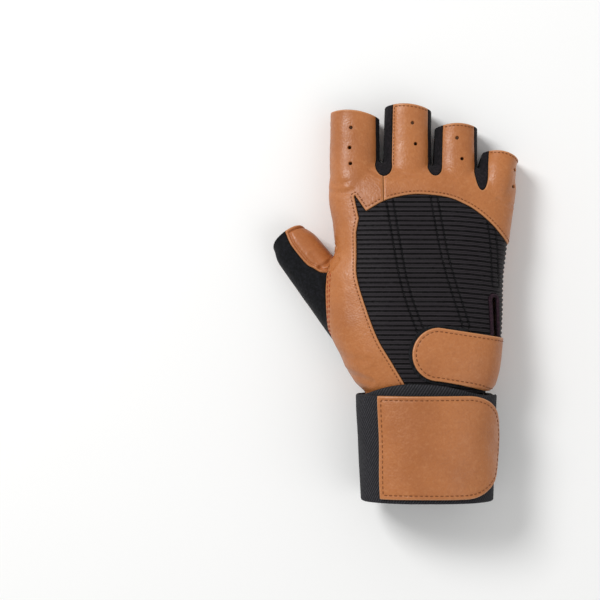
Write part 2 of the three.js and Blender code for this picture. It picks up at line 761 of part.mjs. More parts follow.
// Back of the hand.
let back = shell.intersect(sideSeamCutter(true, SEAM_GAP));
const slitHole = slitCutter(SLIT_WIDTH, 0);
const bindingSeat = slitCutter(SLIT_WIDTH + 2 * (BINDING_WIDTH + SEAM_GAP), 0);
const bindingBlock = slitCutter(SLIT_WIDTH + 2 * BINDING_WIDTH, 0).subtract(slitHole);
[piece, back] = inlay(back, BACK_OPENING.map(place));
addNode("ribbed_back", piece.subtract(bindingSeat), "ribbed");
const seamX = place([INDEX_SEAM_U, 0.9]).x;
const stripTop = place([0, STRIP_TOP_V]);
const indexSide = [
  new THREE.Vector2(stripTop.x, -FAR),
  stripTop,
  new THREE.Vector2(seamX, stripTop.y),
  new THREE.Vector2(seamX, FAR),
  new THREE.Vector2(-FAR, FAR),
  new THREE.Vector2(-FAR, -FAR),
];
[piece, back] = inlay(back, indexSide);
addNode("index_back_leather", piece, "leather");
addNode("knuckle_yoke", back, "leather");

const bindingShell = hand(-BINDING_PROUD).subtract(hand(LEATHER + BINDING_PROUD));
addNode("slit_binding", bindingBlock.intersect(bindingShell), "binding");

// Palm: four finger fronts, then the sewn panels from the knuckles down to the heel.
let palm = shell.intersect(sideSeamCutter(false, SEAM_GAP));
FINGERS.forEach((finger, i) => {
  const from = place(FINGER_SEAMS[i].from);
  const to = place(FINGER_SEAMS[i].to);
  const front = [from, to, new THREE.Vector2(to.x, pastFingers), new THREE.Vector2(from.x, pastFingers)];
  [piece, palm] = inlay(palm, front);
  addNode(`${finger.name}_front`, piece, "leather");
});
[piece, palm] = inlay(palm, [...curve(PALM_ARC), place([1.3, 1.1]), place([-1.3, 1.1])]);
addNode("knuckle_pad", piece, "leather");
const belowHeel = [place([1.3, -0.3]), place([-1.6, -0.3]), place([-1.6, 0.155])];
const heel = [...curve(HEEL_SEAM), ...belowHeel];
[piece, palm] = inlay(palm, [...heel, ...THUMB_FOOT.slice(1, 4).reverse().map(place)]);
addNode("heel_panel", piece, "leather");
const thenar = [...curve(INNER_THENAR), ...curve(THUMB_FRONT_SEAM).reverse().slice(1)];
[piece, palm] = inlay(palm, [...thenar, place(THUMB_FRONT_CORNER)]);
addNode("thenar_panel", piece, "leather");
[piece, palm] = inlay(palm, [...curve(OUTER_THENAR), place([-0.3, 0.03]), place([-1.3, 0.3])]);
addNode("thenar_band", piece, "leather");
addNode("palm_panel", palm, "leather");

// Closure tab: from the little-finger side over the back to its round end, on its loop patch.
const tabLow = WRAP_HEIGHT + TAB_LIFT;
const tabEnd = handAt("right", tabLow) - TAB_REACH;
const tabMiddle = tabLow + TAB_HEIGHT / 2;
const tabDrop = TAB_LIFT - TAB_ROOT_LIFT;
const edgeX = handAt("right", tabLow) + 4 * LEATHER;
function tabOutline(border, length) {
  const radius = TAB_HEIGHT / 2 + border;
  const outline = [];
  const steps = 12;
  for (let i = 0; i <= steps; i++) {
    const angle = Math.PI / 2 + (i / steps) * Math.PI;
    outline.push(
      new THREE.Vector2(
        tabEnd + TAB_HEIGHT / 2 + radius * Math.cos(angle),
        tabMiddle + radius * Math.sin(angle),
      ),
    );
  }
  const stop = Math.min(edgeX, tabEnd + length);
  const slope = tabDrop / (edgeX - tabEnd - TAB_HEIGHT / 2);
  const fall = (stop - tabEnd - TAB_HEIGHT / 2) * slope;
  outline.push(
    new THREE.Vector2(stop, tabMiddle - radius - fall),
    new THREE.Vector2(stop, tabMiddle + radius - TAB_TAPER * fall),
  );
  return outline;
}
const aboveSeam = sideSeamCutter(true, SEAM_GAP);
const patchTop = BINDING_PROUD + FIT_GAP + PATCH_THICK;
const patchShell = palmTube(-patchTop).subtract(palmTube(-patchTop + PATCH_THICK));
piece = patchShell.intersect(prism(tabOutline(PATCH_BORDER, PATCH_LENGTH), 0, FAR));
addNode("loop_patch", piece.intersect(aboveSeam), "elastic");
const tabInner = patchTop + FIT_GAP;
const tabShell = palmTube(-tabInner - TAB_THICK).subtract(palmTube(-tabInner));
piece = tabShell.intersect(prism(tabOutline(0, FAR), 0, FAR));
addNode("closure_tab", piece.intersect(aboveSeam), "leather");

// Wrist wrap: the inner turn stands above the outer one at the back of the wrist.
const skew = (turns) => {
  const highest = turnsAt(WRAP_SKEW_AT) - 1;
  const away = Math.abs(turns - highest) / WRAP_SKEW_SPAN;
  return away < 1 ? WRAP_SKEW * Math.cos((away * Math.PI) / 2) ** 2 : 0;
};
piece = woundBand({
  from: 0,
  to: WRAP_TURNS,
  rings: WRAP_TURNS * 32,
  low: () => 0,
  high: (turns) => WRAP_HEIGHT + skew(turns),
  thick: WRAP_THICK,
});
addNode("wrist_wrap", piece, "elastic");

const tabStart = turnsAt(WRAP_TAB_START);
const turnLength = Math.PI * (WRIST_WIDTH / 2 + WRIST_DEPTH / 2 + 2 * wrapOffset(WRAP_TURNS));
const corner = (turns) => {
  const left = Math.min(Math.max((WRAP_TURNS - turns) * turnLength, 0), WRAP_TAB_CORNER);
  return WRAP_TAB_CORNER - Math.sqrt(WRAP_TAB_CORNER ** 2 - (WRAP_TAB_CORNER - left) ** 2);
};
piece = woundBand({
  from: tabStart,
  to: WRAP_TURNS,
  rings: 24,
  low: (turns) => WRAP_TAB_MARGIN + corner(turns),
  high: (turns) => WRAP_HEIGHT - corner(turns),
  lift: WRAP_THICK + FIT_GAP,
  thick: LEATHER,
});
addNode("wrap_tab", piece, "leather");

// The glove's frame: the middle of its footprint, on the table.
const extent = new THREE.Box3().setFromObject(glove);
const middle = extent.getCenter(new THREE.Vector3());
glove.position.set(-middle.x, -middle.y, -extent.min.z);

export default glove;
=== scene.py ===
"""A half-finger weightlifting glove for the right hand, lying on its palm in a plain studio.

Shapes are worked out in millimetres in the glove's own layout: +X towards the little finger, +Y
towards the fingertips, +Z up through the back of the hand, with the wrap's lower edge at y = 0. They
move into the frame's metres when a piece is made.
"""

import logging
import math
from collections.abc import Callable, Iterable
from dataclasses import dataclass, field
from enum import Enum

import bpy
import numpy as np
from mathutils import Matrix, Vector, kdtree

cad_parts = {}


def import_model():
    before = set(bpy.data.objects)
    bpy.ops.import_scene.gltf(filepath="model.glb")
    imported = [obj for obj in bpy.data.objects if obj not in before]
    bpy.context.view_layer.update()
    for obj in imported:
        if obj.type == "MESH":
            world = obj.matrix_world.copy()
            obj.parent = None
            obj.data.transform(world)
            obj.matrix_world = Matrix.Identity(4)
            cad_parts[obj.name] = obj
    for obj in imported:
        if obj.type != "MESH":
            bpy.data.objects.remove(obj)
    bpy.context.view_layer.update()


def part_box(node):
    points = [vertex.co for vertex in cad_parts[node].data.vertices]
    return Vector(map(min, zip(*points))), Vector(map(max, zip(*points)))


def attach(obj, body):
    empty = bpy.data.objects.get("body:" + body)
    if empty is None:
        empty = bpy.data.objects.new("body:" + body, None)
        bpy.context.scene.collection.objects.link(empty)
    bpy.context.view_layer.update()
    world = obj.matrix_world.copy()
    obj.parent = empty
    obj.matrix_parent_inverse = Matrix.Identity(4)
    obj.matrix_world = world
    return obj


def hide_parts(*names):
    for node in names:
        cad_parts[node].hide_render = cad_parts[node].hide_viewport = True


Array = np.ndarray
Material = bpy.types.Material
Socket = bpy.types.NodeSocket

LOG = logging.getLogger("glove")
FRAME_X = 15.464  # millimetres from the layout's middle to the frame's
MM = 0.001
FAR_AWAY = 99.0  # stands for no seam or hole nearby, in millimetres

# The hand and the wrap: widths across, depths from palm to back, lengths along the fingers.
PALM_WIDTH = 103.0
PALM_DEPTH = 46.0
PALM_LENGTH = 125.0
FINGER_LENGTH = 33.0
WRAP_HEIGHT = 57.5
WRIST_WIDTH = 65.2
WRIST_DEPTH = 41.0
WRIST_TUCK = 18.0
WRIST_BLEND = 0.15
FLOOR_FLAT = 0.6
WRAP_THICK = 1.8
WRAP_PITCH = 2.1
WRAP_CLEAR = 0.3
WRAP_TURNS = 2
WRAP_END = 10.0
WRAP_FLARE = 2.4
CROTCH_Y = WRAP_HEIGHT + PALM_LENGTH
PALM_SQUARE = 2.6
WRIST_SQUARE = 2.3
WRIST_BASE = WRAP_CLEAR + WRAP_PITCH * (WRAP_TURNS - (270 - WRAP_END) / 360) + WRAP_THICK
WRIST_MIDDLE = WRIST_BASE + WRIST_DEPTH / 2 - FLOOR_FLAT
SKIN_DEPTH = 1.0  # from the leather's outer face in to the surface that panels are cut from

# Sections of the palm: share of its length, then left, right, low, high and rake as shares.
PALM_ROWS = (
    (0.048, -0.735, 0.735, 0.045, 0.996, 0.0),
    (0.152, -0.883, 0.79, -0.02, 1.0, 0.0),
    (0.336, -1.055, 0.83, -0.045, 0.96, 0.0),
    (0.496, -1.065, 0.841, -0.045, 0.915, 0.0),
    (0.624, -0.96, 0.875, -0.045, 0.87, 0.0),
    (0.736, -0.978, 0.918, -0.045, 0.82, 0.0),
    (0.856, -1.025, 0.961, -0.045, 0.745, 0.006),
    (0.912, -1.02, 0.975, -0.03, 0.7, 0.012),
    (0.96, -0.99, 0.955, 0.03, 0.62, 0.018),
    (0.995, -0.93, 0.91, 0.17, 0.5, 0.024),
)

# Places of the seams: share of the local half width from its middle, share of the palm's length.
ARCH = (
    (-0.623, 0.79),
    (-0.42, 0.834),
    (-0.229, 0.856),
    (-0.034, 0.863),
    (0.239, 0.851),
    (0.42, 0.824),
    (0.584, 0.786),
    (0.797, 0.718),
    (1.1, 0.6),
)
ARCH_FOOT = ((1.241, 0.3), (1.25, -0.2), (0.1, -0.2))
STRIP_EDGE = (
    (-0.26, -0.005),
    (-0.403, 0.14),
    (-0.48, 0.244),
    (-0.571, 0.39),
    (-0.653, 0.507),
    (-0.742, 0.6),
    (-0.75, 0.7),
    (-0.71, 0.76),
    (-0.735, 0.867),
)
INDEX_SEAM = (-0.43, 0.9)
STRIP_TOP = (0.0, 0.7)
FINGER_SEAMS = (
    ((-1.2, 0.86), (-0.44, 0.955)),
    ((-0.52, 0.94), (0.16, 0.915)),
    ((0.1, 0.93), (0.7, 0.91)),
    ((0.6, 0.885), (1.3, 0.86)),
)
PALM_ARC = (
    (-1.297, 0.73),
    (-0.983, 0.752),
    (-0.746, 0.779),
    (-0.379, 0.797),
    (-0.103, 0.796),
    (0.266, 0.776),
    (0.552, 0.75),
    (0.822, 0.717),
    (1.301, 0.66),
)
OUTER_THENAR = (
    (-1.305, 0.66),
    (-1.001, 0.663),
    (-0.778, 0.666),
    (-0.488, 0.655),
    (-0.193, 0.615),
    (0.062, 0.568),
    (0.262, 0.509),
    (0.377, 0.444),
    (0.479, 0.363),
    (0.505, 0.295),
    (0.485, 0.03),
)
INNER_THENAR = (
    (-0.983, 0.61),
    (-0.783, 0.612),
    (-0.578, 0.598),
    (-0.358, 0.553),
    (-0.176, 0.48),
    (-0.094, 0.41),
    (-0.065, 0.343),
    (-0.085, 0.27),
    (-0.199, 0.197),
)
HEEL_SEAM = ((-0.199, 0.197), (0.055, 0.132), (0.481, 0.063), (1.3, 0.0))
THUMB_FOOT = ((-0.199, 0.197), (-0.412, 0.14), (-0.694, 0.112), (-1.005, 0.135), (-1.498, 0.155))
THUMB_CORNER = (-0.835, 0.56)
THUMB_FRONT = ((-0.911, 0.474), (-0.752, 0.4), (-0.531, 0.302), (-0.199, 0.197))
STRETCH_EDGE = (
    (-1.614, 0.84),
    (-1.548, 0.702),
    (-1.498, 0.644),
    (-1.282, 0.566),
    (-1.168, 0.545),
    (-1.062, 0.526),
    (-0.98, 0.524),
)
STRETCH_FOOT = (
    (-0.98, 0.524),
    (-0.989, 0.46),
    (-0.987, 0.398),
    (-0.988, 0.273),
    (-1.0, 0.211),
    (-1.01, 0.155),
)
STRETCH_EDGE_PALM = (
    (-1.737, 0.716),
    (-1.557, 0.589),
    (-1.282, 0.49),
    (-1.068, 0.368),
    (-0.867, 0.262),
    (-0.735, 0.185),
)
THUMB_CROTCH = (-0.96, 0.63)
THUMB_WEB = (-1.12, 0.85)
OUTSIDE = -2.6


def smooth_table(xs: Array, ys: Array, at: Array) -> Array:
    """Reads a smooth curve through a table's rows that never overshoots them.

    Args:
        xs: Where the rows lie, rising.
        ys: The rows' values.
        at: Where to read the curve.

    Returns:
        The curve's values.
    """
    slope = np.diff(ys) / np.diff(xs)
    tangent = np.zeros(len(xs))
    before, after = slope[:-1], slope[1:]
    mean = 2 * before * after / np.where(before + after == 0, 1, before + after)
    tangent[1:-1] = np.where(before * after > 0, mean, 0)
    at = np.clip(at, xs[0], xs[-1])
    i = np.clip(np.searchsorted(xs, at, side="right") - 1, 0, len(xs) - 2)
    step = xs[i + 1] - xs[i]
    t = (at - xs[i]) / step
    rise = ys[i + 1] - ys[i]
    cubic = tangent[i] + tangent[i + 1] - 2 * rise / step
    square = 3 * rise / step - 2 * tangent[i] - tangent[i + 1]
    return ys[i] + step * t * (tangent[i] + t * (square + t * cubic))


def signed_power(value: Array, power: float) -> Array:
    """Raises values to a power and keeps their signs."""
    return np.sign(value) * np.abs(value) ** power


def unit(vectors: Array) -> Array:
    """Scales each row to a length of one."""
    return vectors / np.maximum(np.linalg.norm(vectors, axis=-1, keepdims=True), 1e-9)


def soft_step(value: Array) -> Array:
    """Eases from 0 to 1 as a value goes from 0 to 1."""
    t = np.clip(value, 0, 1)
    return t * t * (3 - 2 * t)


def bell(value: Array, width: float) -> Array:
    """A smooth bump, 1 at zero and gone at about twice its width."""
    return np.exp(-((value / width) ** 2))


def rounding(share: Array) -> Array:
    """The rise of a quarter circle as a share goes from 0 to 1."""
    return np.sqrt(np.clip(1 - (1 - np.clip(share, 0, 1)) ** 2, 0, 1))


def run_length(line: Array) -> Array:
    """How far along a line each of its points lies."""
    return np.r_[0, np.cumsum(np.linalg.norm(np.diff(line, axis=0), axis=1))]


def read_along(distance: Array, run: Array, values: Array) -> Array:
    """Reads a line's points or normals at distances along it."""
    return np.column_stack([np.interp(distance, run, values[:, i]) for i in range(3)])


def point_tree(points: Array) -> kdtree.KDTree:
    """A search tree over some points."""
    tree = kdtree.KDTree(len(points))
    for i, point in enumerate(points):
        tree.insert(point, i)
    tree.balance()
    return tree


def edge_keys(faces: Array, count: int) -> Array:
    """One number for each edge of each triangle, the same in both triangles beside the edge."""
    other = np.roll(faces, -1, axis=1)
    return np.minimum(faces, other).astype(np.int64) * count + np.maximum(faces, other)


def soft_noise(points: Array, size: float, seed: int) -> Array:
    """Smooth noise through space, from -1 to 1.

    Args:
        points: Places, in millimetres.
        size: Distance between the noise's bumps.
        seed: Picks the pattern.

    Returns:
        One value for each place.
    """
    lattice = np.random.default_rng(seed).uniform(-1, 1, (32, 32, 32))
    place = points / size + 100
    cell = np.floor(place).astype(int)
    t = soft_step(place - cell)
    total = np.zeros(len(points))
    for corner in np.ndindex(2, 2, 2):
        weight = np.prod(np.where(corner, t, 1 - t), axis=1)
        x, y, z = ((cell + corner) % 32).T
        total += weight * lattice[x, y, z]
    return total


def plan_distance(points: Array, outline: Array) -> Array:
    """How far inside a closed outline each place lies, seen from above.

    Args:
        points: Places, of which x and y are read.
        outline: The outline's corners.

    Returns:
        The distance to the outline, negative outside it.
    """
    x, y = points[:, 0], points[:, 1]
    nearest = np.full(len(points), np.inf)
    inside = np.zeros(len(points), bool)
    for (ax, ay), (bx, by) in zip(outline, np.roll(outline, -1, axis=0)):
        dx, dy = bx - ax, by - ay
        length = dx * dx + dy * dy
        if length == 0:
            continue
        t = np.clip(((x - ax) * dx + (y - ay) * dy) / length, 0, 1)
        nearest = np.minimum(nearest, (x - ax - t * dx) ** 2 + (y - ay - t * dy) ** 2)
        if dy != 0:
            inside ^= ((ay > y) != (by > y)) & (x < ax + (y - ay) * dx / dy)
    return np.where(inside, 1, -1) * np.sqrt(nearest)


def line_distance(points: Array, line: Array) -> Array:
    """The signed distance from each place to an open line, seen from above, positive on its right."""
    best = np.full(len(points), np.inf)
    signed = np.zeros(len(points))
    for start, end in zip(line[:-1], line[1:]):
        along = end - start
        offset = points[:, :2] - start
        t = np.clip(offset @ along / (along @ along), 0, 1)
        away = np.linalg.norm(offset - t[:, None] * along, axis=1)
        side = np.sign(offset[:, 0] * along[1] - offset[:, 1] * along[0])
        closer = away < best
        best = np.where(closer, away, best)
        signed = np.where(closer, side * away, signed)
    return signed


def spline(corners: Array, steps: int = 6) -> Array:
    """A smooth open curve through a few places.

    Args:
        corners: The places.
        steps: Points for each stretch between two of them.

    Returns:
        Points along the curve.
    """
    corners = np.asarray(corners, float)
    ends = np.vstack([corners[:1], corners, corners[-1:]])
    t = (np.arange(steps) / steps)[:, None]
    made = []
    for i in range(len(corners) - 1):
        before, start, stop, after = ends[i : i + 4]
        leave, arrive = (stop - before) / 2, (after - start) / 2
        cubic = 2 * start - 2 * stop + leave + arrive
        square = -3 * start + 3 * stop - 2 * leave - arrive
        made.append(((cubic * t + square) * t + leave) * t + start)
    return np.vstack([*made, corners[-1:]])


@dataclass(frozen=True)
class Finger:
    """One finger stall: its centre line and half widths as shares of half the palm's width."""

    name: str
    root: float
    base: float
    tip: float
    wide: float
    slim: float
    reach: float
    lean: float

    @property
    def length(self) -> float:
        """From the crotch to the hem."""
        return self.reach * FINGER_LENGTH

    def centre_x(self, ahead: Array) -> Array:
        """The centre line's x at a distance ahead of the crotch."""
        t = np.clip(ahead / self.length, 0, 1)
        inward = np.clip(-ahead / FINGER_ROOT, 0, 1) ** 2
        start = self.base + (self.root - self.base) * inward
        return (start + (self.tip - start) * t) * PALM_WIDTH / 2

    def half(self, ahead: Array) -> Array:
        """Half the stall's width at a distance ahead of the crotch."""
        t = np.clip(ahead / self.length, 0, 1)
        return (self.wide + (self.slim - self.wide) * t) * PALM_WIDTH / 2


FINGERS = (
    Finger("index", -0.7, -0.744, -0.74, 0.268, 0.262, 0.89, 0.13),
    Finger("middle", -0.18, -0.183, -0.171, 0.258, 0.248, 1.0, 0.09),
    Finger("ring", 0.31, 0.328, 0.34, 0.238, 0.226, 0.68, 0.0),
    Finger("little", 0.69, 0.776, 0.825, 0.2, 0.196, 0.22, 0.17),
)
FINGER_ROOT = 22.0
FINGER_DEPTH = 26.5
FINGER_SQUARE = 2.3
FINGER_AT = np.array([-1.0, -0.35, 0.0, 0.5, 1.0])
FINGER_LOW = np.array([0.02, -0.03, -0.035, -0.03, 0.0])
FINGER_HIGH = np.array([1.13, 1.12, 1.04, 0.97, 0.93])
HEM_DIP = 2.0
THUMB_WIDTH = 27.2
THUMB_DEPTH = 25.0
THUMB_LENGTH = 75.0
THUMB_TILT = 4.0
THUMB_PAST_HEM = 0.14
THUMB_AT = np.array([0.0, 0.1, 0.3, 0.55, 0.8, 1.0])
THUMB_WIDE = np.array([0.76, 0.95, 1.0, 1.05, 1.1, 1.0])
THUMB_LOW = np.array([0.09, 0.05, 0.0, -0.03, -0.03, 0.0])
THUMB_HIGH = np.array([0.83, 0.93, 1.02, 1.1, 1.18, 1.2])
THUMB_MIDDLE = 0.5 * THUMB_DEPTH
THUMB_TIP = np.array([-1.45 * PALM_WIDTH / 2, WRAP_HEIGHT + 0.68 * PALM_LENGTH, 0.0])
THUMB_TURN = math.radians(37.3)
THUMB_ALONG = np.array([-math.sin(THUMB_TURN), math.cos(THUMB_TURN), 0.0])
THUMB_SIDE = np.array([math.cos(THUMB_TURN), math.sin(THUMB_TURN), 0.0])


@dataclass(frozen=True)
class HandForm:
    """The form of the hand that fills the glove, as tubes of rounded sections."""

    overrun: float = 8.0
    ring_points: int = 96
    step: float = 2.0

    def rows(self, y: Array) -> dict[str, Array]:
        """The palm's left, right, low, high and rake at places along it."""
        table = np.array(PALM_ROWS)
        flare = WRAP_FLARE * -WRIST_TUCK / WRAP_HEIGHT
        sides = [WRIST_WIDTH / 2 + flare, WRIST_WIDTH / 2]
        scale = (PALM_WIDTH / 2, PALM_WIDTH / 2, PALM_DEPTH, PALM_DEPTH, PALM_LENGTH)
        low, high = [WRIST_BASE] * 2, [WRIST_MIDDLE + WRIST_DEPTH / 2] * 2
        wrist = ([-side for side in sides], sides, low, high, [0.0, 0.0])
        start = [WRAP_HEIGHT - WRIST_TUCK, WRAP_HEIGHT + 2 * WRAP_CLEAR]
        along = np.concatenate([start, WRAP_HEIGHT + table[:, 0] * PALM_LENGTH])
        names = ("left", "right", "low", "high", "rake")
        return {
            name: smooth_table(along, np.concatenate([wrist[i], table[:, i + 1] * scale[i]]), y)
            for i, name in enumerate(names)
        }

    def place(self, places: Iterable[tuple[float, float]]) -> Array:
        """Turns places given as shares into millimetres."""
        shares = np.array(list(places), float)
        y = WRAP_HEIGHT + shares[:, 1] * PALM_LENGTH
        rows = self.rows(y)
        middle = (rows["left"] + rows["right"]) / 2
        return np.column_stack([middle + shares[:, 0] * (rows["right"] - rows["left"]) / 2, y])

    def side_height(self, y: Array) -> Array:
        """Height of the side seam that parts back from palm."""
        rows = self.rows(y)
        finger = (FINGER_LOW[2] + FINGER_HIGH[2]) / 2 * FINGER_DEPTH
        return np.where(y <= CROTCH_Y, (rows["low"] + rows["high"]) / 2, finger)

    def palm_ring(self, y: float, inset: float, angles: Array) -> Array:
        """Points round the palm at one place along it, for angles counted from the little-finger side."""
        rows = {key: float(value) for key, value in self.rows(np.array(y)).items()}
        blend = (y - WRAP_HEIGHT) / (WRIST_BLEND * PALM_LENGTH)
        wrist = 1 - min(max(blend, 0.0), 1.0)
        power = 2 / (PALM_SQUARE + (WRIST_SQUARE - PALM_SQUARE) * wrist)
        across = signed_power(np.cos(angles), power)
        over = signed_power(np.sin(angles), power)
        low, high = rows["low"] - FLOOR_FLAT * wrist, rows["high"]
        half = (rows["right"] - rows["left"]) / 2 - inset
        x = (rows["left"] + rows["right"]) / 2 + half * across
        z = (low + high) / 2 + ((high - low) / 2 - inset) * over
        return np.column_stack([x, y - rows["rake"] * across, np.maximum(z, WRIST_BASE * wrist + inset)])

    def palm(self) -> list[Array]:
        """The rings of the palm's tube."""
        start, end = WRAP_HEIGHT - WRIST_TUCK - 4, WRAP_HEIGHT + PALM_ROWS[-1][0] * PALM_LENGTH
        stations = np.linspace(start, end - SKIN_DEPTH, int((end - start) / self.step))
        return [self.palm_ring(y, SKIN_DEPTH, self.angles()) for y in stations]

    def angles(self) -> Array:
        """Angles of the points round a ring."""
        return (np.arange(self.ring_points) + 0.5) / self.ring_points * 2 * math.pi

    def stall(self, finger: Finger) -> list[Array]:
        """The rings of one finger's tube, which runs past its hem."""
        ahead = np.arange(-FINGER_ROOT, finger.length + self.overrun, self.step / 2)
        share = np.where(ahead < 0, ahead / FINGER_ROOT, ahead / finger.length)
        low = smooth_table(FINGER_AT, FINGER_LOW, share) * FINGER_DEPTH
        high = smooth_table(FINGER_AT, FINGER_HIGH, share) * FINGER_DEPTH
        made = []
        for distance, t, bottom, top in zip(ahead, np.clip(share, 0, 1), low, high):
            half = float(finger.half(distance))
            centre = (float(finger.centre_x(distance)), CROTCH_Y + distance, (bottom + top) / 2)
            depth = (top - bottom) / 2 - SKIN_DEPTH
            bend = (-finger.lean * half * t, -HEM_DIP * t, 0.0)
            made.append(self.tube_ring(centre, (1, 0, 0), (0, 1, 0), half - SKIN_DEPTH, depth, bend))
        return made

    def thumb(self) -> list[Array]:
        """The rings of the thumb's tube, which runs past its hem."""
        share = np.arange(-THUMB_PAST_HEM, 1.0, self.step / THUMB_LENGTH)
        wide = smooth_table(THUMB_AT, THUMB_WIDE, share) * THUMB_WIDTH / 2
        low = smooth_table(THUMB_AT, THUMB_LOW, share) * THUMB_DEPTH
        high = smooth_table(THUMB_AT, THUMB_HIGH, share) * THUMB_DEPTH
        made = []
        for at, half, bottom, top in zip(share, wide, low, high):
            centre = THUMB_TIP - THUMB_ALONG * at * THUMB_LENGTH + (0, 0, (bottom + top) / 2)
            tilt = THUMB_TILT * max(0.0, 1 - 4 * max(at, 0.0))
            depth = (top - bottom) / 2 - SKIN_DEPTH
            bend = (0.0, 0.0, tilt)
            made.append(
                self.tube_ring(centre, THUMB_SIDE, THUMB_ALONG, half - SKIN_DEPTH, depth, bend)
            )
        return made

    def tube_ring(
        self,
        centre: Iterable[float],
        side: Iterable[float],
        along: Iterable[float],
        half: float,
        depth: float,
        bend: tuple[float, float, float],
    ) -> Array:
        """One ring of a finger or thumb tube.

        Args:
            centre: The ring's middle.
            side: Direction across the tube.
            along: Direction along the tube.
            half: Half its width.
            depth: Half its height.
            bend: How far it moves along the tube for its side, its side squared and its height.

        Returns:
            The ring's points.
        """
        across = signed_power(np.cos(self.angles()), 2 / FINGER_SQUARE)
        over = signed_power(np.sin(self.angles()), 2 / FINGER_SQUARE)
        shift = bend[0] * across + bend[1] * across**2 + bend[2] * over
        points = np.asarray(centre) + np.outer(half * across, side) + np.outer(shift, along)
        points[:, 2] = np.maximum(points[:, 2] + depth * over, SKIN_DEPTH)
        return points


CUT_PATTERNS = {
    1: ((0, 3, 2), (3, 1, 2)),
    2: ((0, 1, 4), (0, 4, 2)),
    4: ((0, 1, 5), (5, 1, 2)),
    3: ((3, 1, 4), (0, 3, 4), (0, 4, 2)),
    6: ((4, 2, 5), (0, 1, 4), (0, 4, 5)),
    5: ((0, 3, 5), (3, 1, 2), (3, 2, 5)),
    7: ((0, 3, 5), (3, 1, 4), (5, 4, 2), (3, 4, 5)),
}
REST = -1


@dataclass
class Surface:
    """A surface of triangles. Each point has a place, a normal and named values."""

    points: Array
    normals: Array
    faces: Array
    panel: Array = field(default_factory=lambda: np.zeros(0, int))
    values: dict[str, Array] = field(default_factory=dict)

    def __post_init__(self) -> None:
        """Leaves every triangle without a panel until one is given."""
        if len(self.panel) != len(self.faces):
            self.panel = np.full(len(self.faces), REST)

    def cut(self, value: Array, snap: float = 0.06) -> Array:
        """Splits triangles along the line where a value crosses zero.

        Args:
            value: One number for each point.
            snap: Values closer to zero than this count as on the line.

        Returns:
            The value at every point, the new ones included.
        """
        value = np.where(np.abs(value) < snap, 0.0, value)
        corner = np.sign(value)[self.faces]
        rows = np.flatnonzero((corner.min(axis=1) < 0) & (corner.max(axis=1) > 0))
        hit = corner[rows] * np.roll(corner[rows], -1, axis=1) < 0
        count = len(self.points)
        self.split(rows, hit, lambda a, b: value[a] / (value[a] - value[b]))
        return np.concatenate([value, np.zeros(len(self.points) - count)])

    def cut_levels(self, name: str, levels: Iterable[float], snap: float = 0.03) -> None:
        """Splits triangles along several levels of a named value."""
        for level in levels:
            self.cut(self.values[name] - level, snap)

    def refine(self, close: Array, longest: float) -> None:
        """Halves the long edges between points that are marked as close to a detail."""
        start, end = self.faces, np.roll(self.faces, -1, axis=1)
        length = np.linalg.norm(self.points[start] - self.points[end], axis=2)
        hit = close[start] & close[end] & (length > longest)
        rows = np.flatnonzero(hit.any(axis=1))
        self.split(rows, hit[rows], lambda a, b: np.full(len(a), 0.5))

    def split(self, rows: Array, hit: Array, share: Callable[[Array, Array], Array]) -> None:
        """Splits some triangles at points on their edges.

        Args:
            rows: The triangles.
            hit: Which of each one's three edges are split.
            share: How far along each edge its new point lies.
        """
        if not len(rows):
            return
        faces, count = self.faces[rows], len(self.points)
        keys = edge_keys(faces, count)
        edges, index = np.unique(keys[hit], return_inverse=True)
        low, high = edges // count, edges % count
        t = share(low, high)

        def grown(values: Array) -> Array:
            """Adds the values of the new points to those of the old."""
            weight = t if values.ndim == 1 else t[:, None]
            return np.concatenate([values, values[low] + (values[high] - values[low]) * weight])

        self.points = grown(self.points)
        self.normals = unit(grown(self.normals))
        self.values = {name: grown(values) for name, values in self.values.items()}
        fresh = np.full(hit.shape, -1)
        fresh[hit] = count + index.ravel()
        corners = np.hstack([faces, fresh])
        code = hit @ np.array([1, 2, 4])
        kept = np.ones(len(self.faces), bool)
        kept[rows] = False
        made, owner = [self.faces[kept]], [self.panel[kept]]
        for pattern, triangles in CUT_PATTERNS.items():
            chosen = code == pattern
            for triangle in triangles:
                made.append(corners[chosen][:, triangle])
                owner.append(self.panel[rows[chosen]])
        self.faces, self.panel = np.vstack(made), np.concatenate(owner)

    def side(self, value: Array) -> Array:
        """Which triangles lie on the positive side of a value that they were cut by."""
        return value[self.faces].sum(axis=1) > 0

    def keep(self, chosen: Array) -> "Surface":
        """A surface of only some of the triangles, with the points that they use."""
        used, index = np.unique(self.faces[chosen], return_inverse=True)
        values = {name: value[used] for name, value in self.values.items()}
        faces = index.reshape(-1, 3)
        return Surface(self.points[used], self.normals[used], faces, self.panel[chosen], values)

    def rim(self) -> tuple[Array, Array]:
        """The edges between panels and at the surface's own border.

        Returns:
            Each edge's two points, and the panels on its left and right; REST - 1 is no panel.
        """
        start, end = self.faces, np.roll(self.faces, -1, axis=1)
        keys = edge_keys(self.faces, len(self.points)).ravel()
        order = np.argsort(keys, kind="stable")
        owner = np.repeat(self.panel, 3)[order]
        ends = np.column_stack([start.ravel(), end.ravel()])[order]
        first = np.r_[True, np.diff(keys[order]) != 0]
        twin = np.r_[~first[1:], False]
        here = owner[first]
        there = np.where(twin[first], np.r_[owner[1:], 0][first], REST - 1)
        differs = here != there
        return ends[first][differs], np.column_stack([here, there])[differs]


def grid_quads(number: Array) -> Array:
    """Quads over a grid of point numbers."""
    a, b = number[:-1, :-1].ravel(), number[:-1, 1:].ravel()
    c, d = number[1:, 1:].ravel(), number[1:, :-1].ravel()
    return np.column_stack([a, b, c, d])


